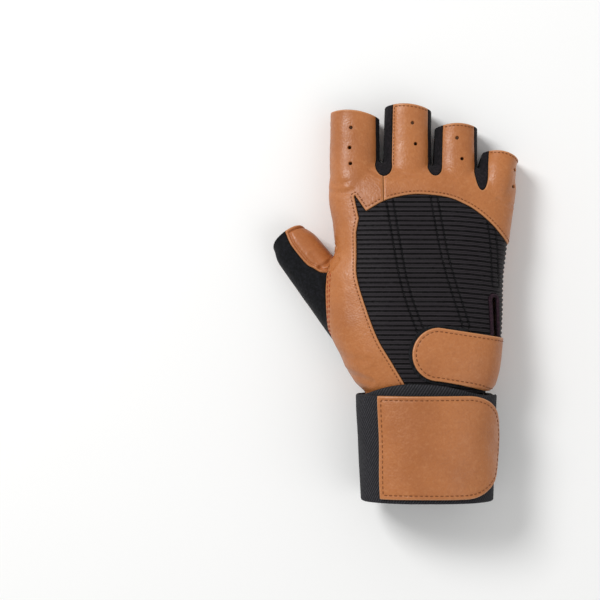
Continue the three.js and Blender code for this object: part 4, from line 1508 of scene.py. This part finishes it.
        mesh.loop_triangles.foreach_get("vertices", triangles)
        bpy.data.objects.remove(body)
        bpy.data.meshes.remove(mesh)
        return Surface(
            places.reshape(-1, 3).astype(float),
            normals.reshape(-1, 3).astype(float),
            triangles.reshape(-1, 3).astype(np.int64),
        )

    def hem_value(self, points: Array) -> Array:
        """Positive inside the finger, thumb and wrist hems."""
        x, y, z = points.T
        value = y - (WRAP_HEIGHT - WRIST_TUCK)
        ahead = y - CROTCH_Y
        away = np.stack([np.abs(x - f.centre_x(ahead)) / f.half(ahead) for f in FINGERS])
        nearest = away.argmin(axis=0)
        for i, finger in enumerate(FINGERS):
            half = finger.half(ahead)
            share = (x - finger.centre_x(ahead)) / (half - SKIN_DEPTH)
            hem = CROTCH_Y + finger.length - finger.lean * half * share - HEM_DIP * share**2
            value = np.where((nearest == i) & (ahead > 2), hem - y, value)
        offset = points - THUMB_TIP
        side, ahead = offset @ THUMB_SIDE, offset @ THUMB_ALONG
        middle = (THUMB_LOW[0] + THUMB_HIGH[0]) / 2 * THUMB_DEPTH
        over = (z - middle) / ((THUMB_HIGH[0] - THUMB_LOW[0]) / 2 * THUMB_DEPTH - SKIN_DEPTH)
        thumb = (np.abs(side) < 17) & (ahead > -9)
        return np.where(thumb, THUMB_TILT * over - ahead, value)

    def above_seam(self, points: Array) -> Array:
        """Height over the side seam, which runs lower on the little-finger side of the palm."""
        drop = self.seam_drop * soft_step(points[:, 0] / 20) * soft_step((160 - points[:, 1]) / 16)
        return points[:, 2] - self.form.side_height(points[:, 1]) + drop

    def over_under(self, points: Array, over: Array, under: Array, middle: Array, width: float) -> Array:
        """Passes from a value on the palm side to one on the back.

        Args:
            points: The places.
            over: The value on the back.
            under: The value on the palm.
            middle: The height of the change.
            width: How far up the change is spread.

        Returns:
            The joined value.
        """
        share = soft_step((points[:, 2] - middle) / width + 0.5)
        return under + (over - under) * share

    def gusset_value(self, points: Array, left: Finger, right: Finger, deep: float) -> Array:
        """Positive where the gusset between two fingers lies."""
        tops = (left.length, right.length)

        def outline(drop: float) -> Array:
            """The gusset's outline, open towards the fingertips."""
            low = (
                (left.base + left.wide) * PALM_WIDTH / 2 - self.gusset_right,
                (right.base - right.wide) * PALM_WIDTH / 2 + self.gusset_left,
            )
            top = (
                (left.tip + left.slim) * PALM_WIDTH / 2 - self.gusset_right,
                (right.tip - right.slim) * PALM_WIDTH / 2 + self.gusset_left,
            )
            angle = np.linspace(0, math.pi, 15)
            middle, half = sum(low) / 2, (low[1] - low[0]) / 2
            bowl = np.column_stack([middle - half * np.cos(angle), CROTCH_Y - drop * np.sin(angle)])
            ends = [CROTCH_Y + reach + 12 for reach in tops]
            return np.vstack([[top[0], ends[0]], bowl, [top[1], ends[1]]])

        back = plan_distance(points, outline(self.gusset_drop * deep))
        palm = plan_distance(points, outline(max(self.gusset_drop_palm, self.gusset_drop * deep)))
        middle = self.form.side_height(points[:, 1])
        return self.over_under(points, back, palm, middle, self.gusset_blend)

    def slit_distance(self, points: Array) -> Array:
        """Distance from the vent slit's middle line, over the side of the hand that it faces."""
        tilt = math.radians(self.slit_tilt)
        facing = np.array([math.cos(tilt), 0.0, math.sin(tilt)])
        upward = np.array([-facing[2], 0.0, facing[0]])
        origin = np.array([self.slit_depth * PALM_WIDTH / 2, 0.0, self.slit_height])
        offset = points - origin
        low = WRAP_HEIGHT + self.slit_start
        along = points[:, 1] - np.clip(points[:, 1], low, low + self.slit_length)
        away = np.hypot(along, offset @ upward)
        return np.where(offset @ facing > -8, away, FAR_AWAY)

    def hole_distance(self, points: Array) -> Array:
        """Distance from the nearest perforation's middle."""
        middle = self.form.side_height(points[:, 1])
        best = np.full(len(points), FAR_AWAY)
        for holes, over in ((self.BACK_HOLES, True), (self.PALM_HOLES, False)):
            facing = (points[:, 2] > middle) == over
            for x, y in holes:
                away = np.hypot(points[:, 0] - x, points[:, 1] - y)
                best = np.minimum(best, np.where(facing, away, FAR_AWAY))
        return best

    def divide(self, skin: Surface) -> None:
        """Cuts the skin into panels, in the order in which they lie over each other."""
        place = self.form.place
        value = skin.cut(self.hem_value(skin.points))
        kept = skin.keep(skin.side(value))
        skin.points, skin.normals, skin.faces, skin.panel = (
            kept.points,
            kept.normals,
            kept.faces,
            kept.panel,
        )
        for longest in (0.7, 0.4, 0.22):
            skin.refine(self.hole_distance(skin.points) < 2.2, longest)
        for longest in (0.8, 0.5):
            skin.refine(np.abs(self.slit_distance(skin.points) - 2.4) < 2.4, longest)

        def take(name: str, value: Array, over: bool | None = None) -> None:
            """Gives a panel the part of the skin where a value is positive."""
            value = skin.cut(value)
            chosen = (skin.panel == REST) & skin.side(value)
            if over is not None:
                chosen &= skin.side(self.above_seam(skin.points)) == over
            if name not in self.names:
                self.names.append(name)
            skin.panel[chosen] = self.names.index(name)

        take("hole", self.hole_radius - self.hole_distance(skin.points))
        take("hole", self.slit_half - self.slit_distance(skin.points))
        take("slit_binding", self.slit_half + self.binding - self.slit_distance(skin.points))
        for left, right, deep in zip(FINGERS, FINGERS[1:], self.GUSSET_DEPTHS):
            value = self.gusset_value(skin.points, left, right, deep)
            take(f"gusset_{left.name}_{right.name}", value)
        stretch = np.vstack(
            [
                spline(place(STRETCH_EDGE)),
                spline(place(STRETCH_FOOT)),
                place([(OUTSIDE, -0.1), (OUTSIDE, 0.9)]),
            ]
        )
        stretch_palm = np.vstack(
            [
                spline(place(STRETCH_EDGE_PALM)),
                place([*THUMB_FOOT[2:], (OUTSIDE, 0.155), (OUTSIDE, 0.75)]),
            ]
        )
        points = skin.points
        over, under = plan_distance(points, stretch), plan_distance(points, stretch_palm)
        rise = THUMB_MIDDLE + self.stretch_rise * soft_step((108 - points[:, 1]) / 24)
        take("thumb_stretch_back", self.over_under(points, over, under, rise, self.seam_blend))
        web = place([THUMB_CROTCH, THUMB_WEB])
        inner = np.vstack([place([STRETCH_FOOT[0]]), web, place([(OUTSIDE, 0.85), (OUTSIDE, 0.5)])])
        front = np.vstack(
            [
                spline(place(THUMB_FRONT)),
                place([*THUMB_FOOT[1:], (OUTSIDE, 0.155), (OUTSIDE, 0.85)]),
                web[::-1],
                place([THUMB_CORNER]),
            ]
        )
        points = skin.points
        over, under = plan_distance(points, inner), plan_distance(points, front)
        take("thumb_leather", self.over_under(points, over, under, THUMB_MIDDLE, self.seam_blend))
        skin.cut(self.above_seam(skin.points))
        opening = np.vstack(
            [spline(place(ARCH)), place(ARCH_FOOT), spline(place(STRIP_EDGE[:6])), place(STRIP_EDGE[6:])]
        )
        take("ribbed_back", plan_distance(skin.points, opening), True)
        (seam, _), (strip, height) = place([INDEX_SEAM, STRIP_TOP])
        far = 300.0
        side = [(strip, -far), (strip, height), (seam, height), (seam, far), (-far, far), (-far, -far)]
        take("index_back_leather", plan_distance(skin.points, np.array(side)), True)
        take("knuckle_yoke", np.ones(len(skin.points)), True)
        for finger, ends in zip(FINGERS, FINGER_SEAMS):
            low = place(ends)
            top = low[::-1] + (0, 60)
            take(f"{finger.name}_front", plan_distance(skin.points, np.vstack([low, top])), False)
        pad = np.vstack([spline(place(PALM_ARC)), place([(1.3, 1.1), (-1.3, 1.1)])])
        take("knuckle_pad", plan_distance(skin.points, pad), False)
        below = place([(1.3, -0.3), (-1.6, -0.3), (-1.6, 0.155)])
        heel = np.vstack([spline(place(HEEL_SEAM)), below, place(THUMB_FOOT[1:4])[::-1]])
        take("heel_panel", plan_distance(skin.points, heel), False)
        ball = np.vstack(
            [spline(place(INNER_THENAR)), spline(place(THUMB_FRONT))[::-1], place([THUMB_CORNER])]
        )
        take("thenar_panel", plan_distance(skin.points, ball), False)
        band = np.vstack([spline(place(OUTER_THENAR)), place([(-0.3, 0.03), (-1.3, 0.3)])])
        take("thenar_band", plan_distance(skin.points, band), False)
        take("palm_panel", np.ones(len(skin.points)), False)
        LOG.info("skin: %d triangles, %d without a panel", len(skin.faces), (skin.panel == REST).sum())

    def rows(self) -> list[Row]:
        """The rows of stitches along the seams."""
        back, yoke, thumb = "index_back_leather", "knuckle_yoke", "thumb_leather"
        made = [
            Row(back, ("ribbed_back",), 1.7, Thread.BROWN, 2.0),
            Row(yoke, ("ribbed_back",), 1.7, Thread.BROWN, 2.0),
            Row(yoke, ("gusset_index_middle",), 1.3, Thread.BROWN, 2.0, CROTCH_Y),
            Row(back, ("thumb_stretch_back", thumb), 2.2, Thread.BRICK, 2.7, 70, 124),
            Row(back, ("thumb_stretch_back", thumb), 4.2, Thread.BRICK, 2.7, 70, 124),
            Row(yoke, ("hem",), 1.5, Thread.BROWN, 2.0, WRAP_HEIGHT),
            Row(thumb, ("thumb_stretch_back", "hem"), 2.0, None, groove=1.15),
        ]
        pairs = (
            ("knuckle_pad", "palm_panel"),
            ("palm_panel", "thenar_band"),
            ("thenar_band", "thenar_panel"),
            ("palm_panel", "heel_panel"),
            ("thenar_band", "heel_panel"),
            (thumb, "thenar_panel"),
            (thumb, "thenar_band"),
            *((f"{finger.name}_front", "knuckle_pad") for finger in FINGERS),
        )
        for first, second in pairs:
            made.append(Row(first, (second,), 1.1, Thread.BRICK, 2.3))
            made.append(Row(second, (first,), 1.1, Thread.BRICK, 2.3))
        foot = (thumb, "thumb_stretch_back")
        made += [Row("heel_panel", foot, away, Thread.BRICK, 2.3) for away in (1.3, 2.9)]
        return made

    def relief(self, points: Array, kind: Kind) -> Array:
        """Soft unevenness and folds of a worn panel, in millimetres."""
        relief = 0.25 * soft_noise(points, 19, 3) + 0.12 * soft_noise(points, 8, 4)
        if kind in (Kind.LEATHER, Kind.PAD):
            relief += 0.04 * soft_noise(points, 3.4, 5)
            above = self.above_seam(points)
            relief += sum(crease.relief(points, above) for crease in self.CREASES)
        if kind is Kind.PAD:
            stretched = points * (0.22, 1.0, 0.22)
            fingers = soft_step((points[:, 1] - CROTCH_Y + 8) / 8)
            relief += 0.12 * fingers * soft_noise(stretched, 1.9, 6)
        return relief

    def rib_relief(self, sheet: Sheet) -> None:
        """Gives the stretch back its cross ribs and the grooves of its stitched columns."""
        surface = sheet.surface
        x, y = surface.points[:, 0], surface.points[:, 1]
        bow = self.rib_droop * np.maximum(x - self.droop_from, 0) ** 2
        surface.values["phase"] = (y + bow) / self.rib_pitch
        for i, column in enumerate(self.COLUMNS):
            line = spline(self.columns_place(column))
            surface.values[f"column{i}"] = line_distance(surface.points, line)
        low, high = surface.values["phase"].min(), surface.values["phase"].max()
        for turn in (0.0, self.rib_shoulder, 1 - self.rib_shoulder):
            surface.cut_levels("phase", np.arange(math.floor(low), high + 1) + turn, 0.02)
        for i in range(len(self.COLUMNS)):
            for middle in (-self.half_column, self.half_column):
                levels = [middle + step for step in (-0.5, 0.0, 0.5)]
                surface.cut_levels(f"column{i}", levels, 0.04)

    def columns_place(self, column: tuple[tuple[float, float], ...]) -> Array:
        """A stitched column's middle line, in millimetres."""
        shares = np.array(column)
        return np.column_stack(
            [shares[:, 0] * PALM_WIDTH / 2, WRAP_HEIGHT + shares[:, 1] * PALM_LENGTH]
        )

    def rib_height(self, surface: Surface) -> tuple[Array, Array]:
        """The ribs' height at each point, and a share for the painted light: 1 on the rib tops, where a
        highlight is painted, falling to 0 in the valleys and column grooves, where shade is painted.
        """
        turn = surface.values["phase"] % 1
        crest = soft_step(np.minimum(turn, 1 - turn) / self.rib_shoulder)
        height = self.rib_depth * (crest - 1)
        for i, column in enumerate(self.COLUMNS):
            ends = self.columns_place(column)[:, 1]
            inside = soft_step((surface.points[:, 1] - ends.min()) / 4 + 1)
            away = np.abs(np.abs(surface.values[f"column{i}"]) - self.half_column)
            deep = (0.5 if i < 2 else 0.25) * inside
            height = height - deep * bell(away, 0.42)
            # Painted shade: the colour share drops by up to 70 % in the column grooves, on top of their real
            # depth.
            crest = crest * (1 - 0.7 * inside * bell(away, 0.5))
        return height, crest

    def build(self, shop: Workshop, sewing: dict[Thread, Sewing]) -> None:
        """Makes every sewn panel and its stitches.

        Args:
            shop: Makes the pieces.
            sewing: Gathers the stitches of each thread.
        """
        skin = self.grow()
        self.divide(skin)
        ends, sides = skin.rim()
        names = dict(enumerate(self.names))
        rows = self.rows()
        for number, name in names.items():
            if name == "hole":
                continue
            chosen = skin.panel == number
            used = np.unique(skin.faces[chosen])
            surface = skin.keep(chosen)
            local = np.full(len(skin.points), -1)
            local[used] = np.arange(len(used))
            left, right = sides[:, 0] == number, sides[:, 1] == number
            mine = left | right
            beside = np.where(left, sides[:, 1], sides[:, 0])[mine]
            kind = self.kind(name)
            leather = kind in (Kind.LEATHER, Kind.PAD)
            top = 1.0 if leather else self.cloth_top[name.split("_")[0]]
            sheet = Sheet(surface, top, -0.3 if leather else min(-0.4, top - 0.9))
            sheet.measure(local[ends[mine]], beside, names)
            sheet.seams = {
                near: PUNCHED if near == "hole" and leather else profile_between(kind, self.kind(near))
                for near in list(surface.values)
            }
            if kind is Kind.RIBBED:
                self.rib_relief(sheet)
            own = [row for row in rows if row.panel == name and set(row.beside) & set(sheet.seams)]
            sheet.shape(own)
            sheet.raise_top(self.relief(surface.points, kind))
            if kind is Kind.RIBBED:
                height, crest = self.rib_height(surface)
                sheet.raise_top(height)
                # Stored for the colour only: painted highlight on rib tops, painted shade in valleys and
                # column grooves.
                surface.values["crest"] = crest
                self.sew_columns(sheet, sewing[Thread.BLACK])
            for row in own:
                if row.thread is not None:
                    self.sew_row(sheet, row, sewing[row.thread])
            shop.sheet(sheet, self.slot(name), name, "suede" if leather else "gusset_stretch")

    def slot(self, name: str) -> str:
        """The record's material slot of a panel."""
        known = {
            "index_back_leather": "tan_leather",
            "knuckle_yoke": "tan_leather",
            "ribbed_back": "ribbed_stretch",
            "thumb_stretch_back": "thumb_cloth",
            "slit_binding": "binding_tape",
        }
        if name.startswith("gusset"):
            return "gusset_stretch"
        return known.get(name, "palm_leather")

    def sew_row(self, sheet: Sheet, row: Row, sewing: Sewing) -> None:
        """Sews one row of stitches on a panel."""
        values = sheet.surface.values
        followed = set(row.beside)
        lines = chains(sheet.surface, values[sheet.gather(row)] - row.away, sheet.outer())
        others = [values[name] for name in sheet.seams if name not in followed]
        clear = np.min(others, axis=0) if others else np.full(len(sheet.surface.points), FAR_AWAY)
        tree = point_tree(sheet.surface.points)

        def keep(middles: Array) -> Array:
            """Leaves out stitches that would run into another seam."""
            near = np.array([clear[tree.find(point)[1]] for point in middles])
            inside = (middles[:, 1] > row.low_y) & (middles[:, 1] < row.high_y)
            return (near > 1.0) & inside

        sewing.sew(lines, row.pitch, keep)

    def sew_columns(self, sheet: Sheet, sewing: Sewing) -> None:
        """Sews the twin rows of each column on the stretch back."""
        outer = sheet.outer()
        for i, column in enumerate(self.COLUMNS):
            ends = self.columns_place(column)[:, 1]
            low, high = ends.min(), ends.max() + 12
            for middle in (-self.half_column, self.half_column):
                lines = chains(sheet.surface, sheet.surface.values[f"column{i}"] - middle, outer)
                sewing.sew(
                    lines,
                    self.column_pitch,
                    lambda p, low=low, high=high: (p[:, 1] > low) & (p[:, 1] < high),
                )


@dataclass
class ClosureTab:
    """The hook-and-loop tab over the back of the hand, on its loop patch."""

    form: HandForm
    height: float = 28.5
    reach: float = 47.0
    lift: float = 7.5
    root_lift: float = 0.8
    taper: float = 0.95
    border: float = 1.8
    patch_length: float = 30.0
    grid: float = 0.8

    def outline(self, border: float, length: float) -> Array:
        """The tab's outline seen from above, or that of the patch under it."""
        low = WRAP_HEIGHT + self.lift
        right = float(self.form.rows(np.array(low))["right"])
        end, middle, edge = right - self.reach, low + self.height / 2, right + 8
        radius = self.height / 2 + border
        angle = np.linspace(math.pi / 2, 1.5 * math.pi, 25)
        centre = end + self.height / 2
        bow = np.column_stack([centre + radius * np.cos(angle), middle + radius * np.sin(angle)])
        stop = min(edge, end + length)
        fall = (stop - centre) * (self.lift - self.root_lift) / (edge - centre)
        return np.vstack([bow, [stop, middle - radius - fall], [stop, middle + radius - self.taper * fall]])

    def base(self) -> Surface:
        """The surface over the back of the hand that the tab lies on."""
        dense = np.linspace(-0.15, math.radians(125), 900)
        rings = []
        for y in np.arange(WRAP_HEIGHT - 6, WRAP_HEIGHT + 50, self.grid):
            ring = self.form.palm_ring(y, SKIN_DEPTH, dense)
            length = run_length(ring)
            even = np.arange(0, 92, self.grid)
            rings.append(read_along(even, length, ring))
        return grid_surface(np.array(rings)[:, ::-1])

    def trimmed(self, border: float, length: float) -> Sheet:
        """The part of that surface inside an outline, as a sheet."""
        surface = self.base()
        seam = surface.points[:, 2] - self.form.side_height(surface.points[:, 1]) - 0.2
        value = np.minimum(plan_distance(surface.points, self.outline(border, length)), seam)
        return lone_sheet(surface, value)

    def build(self, shop: Workshop, sewing: dict[Thread, Sewing]) -> None:
        """Makes the patch, the tab and the tab's stitches."""
        patch = self.trimmed(self.border, self.patch_length)
        patch.top, patch.bottom, patch.hem_fold = 0.75, -0.1, 0.0
        patch.seams = {"hem": Profile(0.1, 0.6)}
        patch.shape()
        shop.sheet(patch, "loop_fabric", "loop_patch", "loop_fabric")
        tab = self.trimmed(0.0, math.inf)
        tab.top, tab.bottom, tab.hem_fold = 2.9, 1.0, 0.0
        tab.seams = {"hem": Profile(1.9, 1.0, 0.18)}
        row = Row("closure_tab", ("hem",), 2.1, Thread.BROWN, 2.6)
        tab.shape([row])
        surface = tab.surface
        tab.raise_top(0.3 * soft_noise(surface.points, 16, 8) + 0.12 * soft_noise(surface.points, 6, 9))
        height = surface.points[:, 2] - self.form.side_height(surface.points[:, 1])
        dive = 1.9 * (1 - soft_step(height / 15))
        surface.values["top"] = surface.values["top"] - dive
        surface.values["bottom"] = surface.values["bottom"] - dive
        lines = chains(surface, surface.values["hem"] - row.away, tab.outer())
        clear = 2.5

        def keep(middles: Array) -> Array:
            """Leaves out the row along the sewn root."""
            return middles[:, 2] > self.form.side_height(middles[:, 1]) + clear

        sewing[Thread.BROWN].sew(lines, row.pitch, keep)
        shop.sheet(tab, "tan_leather", "closure_tab")


@dataclass
class WristWrap:
    """The long elastic band round the wrist and the leather tab that ends it."""

    skew: float = 6.2
    skew_at: float = 100.0
    skew_span: float = 0.2
    tab_start: float = 131.0
    tab_margin: float = 2.4
    tab_corner: float = 26.0
    tab_thick: float = 2.0
    step: float = 1.2

    def turns_at(self, degrees: float) -> float:
        """How many turns are wound at an angle above the little-finger side, in the outer turn."""
        return WRAP_TURNS - (degrees - WRAP_END) / 360

    def corner(self, turns: Array, y: Array, offset: Array) -> Array:
        """A place on the wound band."""
        angle = math.radians(WRAP_END) + 2 * math.pi * (WRAP_TURNS - turns)
        flare = WRAP_FLARE * (y / WRAP_HEIGHT - 1)
        ripple = 0.22 * np.sin(3.1 * angle + y / 9.5) + 0.16 * np.sin(7.3 * angle - y / 6.1)
        out = offset + ripple * soft_step((np.sin(angle) + 0.75) / 0.5)
        x = (WRIST_WIDTH / 2 + out + flare) * signed_power(np.cos(angle), 2 / WRIST_SQUARE)
        z = WRIST_MIDDLE + (WRIST_DEPTH / 2 + out) * signed_power(np.sin(angle), 2 / WRIST_SQUARE)
        return np.stack([x, y + 0 * x, np.maximum(np.maximum(z, WRIST_BASE - offset), 0.0)], axis=-1)

    def top_edge(self, turns: Array) -> Array:
        """The height of the band's upper edge."""
        highest = self.turns_at(self.skew_at) - 1
        away = np.abs(turns - highest) / self.skew_span
        return WRAP_HEIGHT + np.where(away < 1, self.skew * np.cos(away * math.pi / 2) ** 2, 0)

    def band(self, shop: Workshop) -> None:
        """Makes the elastic band as one closed strip with soft edges."""
        length = math.pi * (WRIST_WIDTH + WRIST_DEPTH) / 2
        turns = np.linspace(0, WRAP_TURNS, int(WRAP_TURNS * length / self.step))
        share = np.r_[0, 0.006, 0.02, 0.05, np.linspace(0.08, 0.92, 44), 0.95, 0.98, 0.994, 1]
        thin = np.clip(np.minimum(share, 1 - share) / 0.02, 0, 1)
        grid_t, grid_s = np.meshgrid(turns, share, indexing="ij")
        top = self.top_edge(grid_t)
        y = grid_s * top
        inner = WRAP_CLEAR + WRAP_PITCH * grid_t
        middle = inner + WRAP_THICK / 2
        ends = np.clip(np.minimum(grid_t, WRAP_TURNS - grid_t) * length / 0.9, 0.25, 1)
        half = WRAP_THICK / 2 * rounding(thin) * ends
        outside = self.corner(grid_t, y, middle + half)
        inside = self.corner(grid_t, y, middle - half)
        rows, columns = grid_t.shape
        number = np.arange(rows * columns).reshape(rows, columns)
        back = number + rows * columns
        quads = [
            grid_quads(number),
            grid_quads(back)[:, ::-1],
            self.bridge(number[:, 0], back[:, 0]),
            self.bridge(back[:, -1], number[:, -1]),
            self.bridge(back[0], number[0]),
            self.bridge(number[-1], back[-1]),
        ]
        line = self.corner(turns, np.full_like(turns, WRAP_HEIGHT / 2), WRAP_CLEAR + WRAP_PITCH * turns)
        run = run_length(line)
        flat = np.stack([np.repeat(run[:, None], columns, axis=1), y], axis=-1).reshape(-1, 2)
        points = np.vstack([outside.reshape(-1, 3), inside.reshape(-1, 3)])
        shop.piece(
            "wrist_wrap_woven",
            points,
            np.vstack(quads),
            "wrap_elastic",
            uv=np.vstack([flat, flat + (3.0, 5.0)]),
            replaces=("wrist_wrap",),
        )

    def bridge(self, first: Array, second: Array) -> Array:
        """Quads between two lines of points."""
        return np.column_stack([first[:-1], first[1:], second[1:], second[:-1]])

    def tab(self, shop: Workshop, sewing: dict[Thread, Sewing]) -> None:
        """Makes the leather tab at the band's end, with its folded lip and its stitches."""
        start = self.turns_at(self.tab_start)
        fine = np.linspace(start, WRAP_TURNS, 600)
        lift = WRAP_THICK + WRAP_CLEAR
        line = self.corner(fine, np.full_like(fine, WRAP_HEIGHT / 2), WRAP_CLEAR + WRAP_PITCH * fine + lift)
        length = run_length(line)
        reach = length[-1]
        along = np.arange(-1, reach + 1, 0.8)
        turns = np.interp(along, length, fine)
        pace = reach / (WRAP_TURNS - start)
        turns = np.where(along > reach, WRAP_TURNS + (along - reach) / pace, turns)
        turns = np.where(along < 0, start + along / pace, turns)
        grid_t, y = np.meshgrid(turns, np.arange(1.0, WRAP_HEIGHT + 1, 0.8), indexing="ij")
        grid = self.corner(grid_t, y, WRAP_CLEAR + WRAP_PITCH * grid_t + lift)
        surface = grid_surface(grid)
        surface.normals *= -1
        surface.faces = surface.faces[:, ::-1]
        s = np.repeat(along, y.shape[1])
        value = self.rounded(s, y.ravel(), reach)
        sheet = lone_sheet(surface, value, self.tab_thick, 0.0, 0.0)
        surface = sheet.surface
        sheet.seams = {"hem": Profile(0.9, 1.0, 0.22)}
        row = Row("wrap_tab", ("hem",), 2.3, Thread.BROWN, 2.7)
        sheet.shape([row])
        relief = 0.22 * soft_noise(surface.points, 17, 11) + 0.1 * soft_noise(surface.points, 6, 12)
        sheet.raise_top(relief)
        lines = chains(surface, surface.values["hem"] - row.away, sheet.outer())
        sewing[Thread.BROWN].sew(lines, row.pitch)
        shop.sheet(sheet, "tan_leather", "wrap_tab")

    def rounded(self, s: Array, y: Array, reach: float) -> Array:
        """Distance inside the tab's outline, whose far corners are round."""
        low, high, radius = self.tab_margin, WRAP_HEIGHT, self.tab_corner
        middle, half = (low + high) / 2, (high - low) / 2
        off_y = np.abs(y - middle) - half
        off_end = s - reach
        round_y, round_end = off_y + radius, off_end + radius
        away = np.hypot(np.maximum(round_y, 0), np.maximum(round_end, 0)) - radius
        far = np.where((round_y > 0) & (round_end > 0), away, np.maximum(off_y, off_end))
        return -np.maximum(far, -s)

    def build(self, shop: Workshop, sewing: dict[Thread, Sewing]) -> None:
        """Makes the band and its tab."""
        self.band(shop)
        self.tab(shop, sewing)


@dataclass(frozen=True)
class Studio:
    """A white table, soft light from the upper left and a camera straight above."""

    distance: float = 1.0
    field_of_view: float = 0.33
    focus_height: float = 0.014
    centre_x: float = -0.0529
    centre_y: float = 0.0006

    def build(self) -> None:
        """Makes the floor, the lights and the camera."""
        bpy.ops.object.select_all(action="DESELECT")
        bpy.ops.mesh.primitive_plane_add(size=6.0, location=(0, 0, 0))
        floor = bpy.context.object
        floor.name = "studio_floor"
        dye = Dye("matt_white_table")
        floor.data.materials.append(
            dye.finish(Base_Color=linear_colour("#F7F7F6"), Roughness=0.9)
        )
        self.light("key", (-0.85, 0.75, 1.2), 0.55, 17.5)
        self.light("fill", (0.9, -0.5, 1.3), 1.2, 4.0)
        world = bpy.data.worlds.new("studio_world")
        world.use_nodes = True
        sky = world.node_tree.nodes["Background"]
        sky.inputs["Color"].default_value = linear_colour("#FFFFFF")
        sky.inputs["Strength"].default_value = 0.5
        bpy.context.scene.world = world
        bpy.context.scene.view_settings.view_transform = "Standard"
        data = bpy.data.cameras.new("camera")
        data.sensor_width = 36.0
        data.lens = 36.0 * self.distance / self.field_of_view
        camera = bpy.data.objects.new("camera", data)
        camera.location = (self.centre_x, self.centre_y, self.focus_height + self.distance)
        bpy.context.collection.objects.link(camera)
        bpy.context.scene.camera = camera

    def light(self, name: str, place: tuple[float, float, float], size: float, power: float) -> None:
        """Adds a soft square light that faces the glove."""
        data = bpy.data.lights.new(name, "AREA")
        data.size = size
        data.energy = power
        lamp = bpy.data.objects.new(name, data)
        lamp.location = place
        lamp.rotation_euler = (-Vector(place)).to_track_quat("-Z", "Y").to_euler()
        bpy.context.collection.objects.link(lamp)


def main() -> None:
    """Builds the glove from the hand outwards, and then the studio."""
    logging.basicConfig(level=logging.INFO, format="%(name)s: %(message)s")
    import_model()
    shift = np.array([FRAME_X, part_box("wrist_wrap")[0].y / MM, 0.0])
    shop = Workshop(Wardrobe(), shift)
    sewing = {thread: Sewing(thread) for thread in Thread}
    form = HandForm()
    GloveShell(form).build(shop, sewing)
    ClosureTab(form).build(shop, sewing)
    WristWrap().build(shop, sewing)
    for thread, seam in sewing.items():
        points, faces = seam.build()
        shop.piece(f"{thread.value}_stitches", points, faces, thread.value)
    Studio().build()


if __name__ == "__main__":
    main()
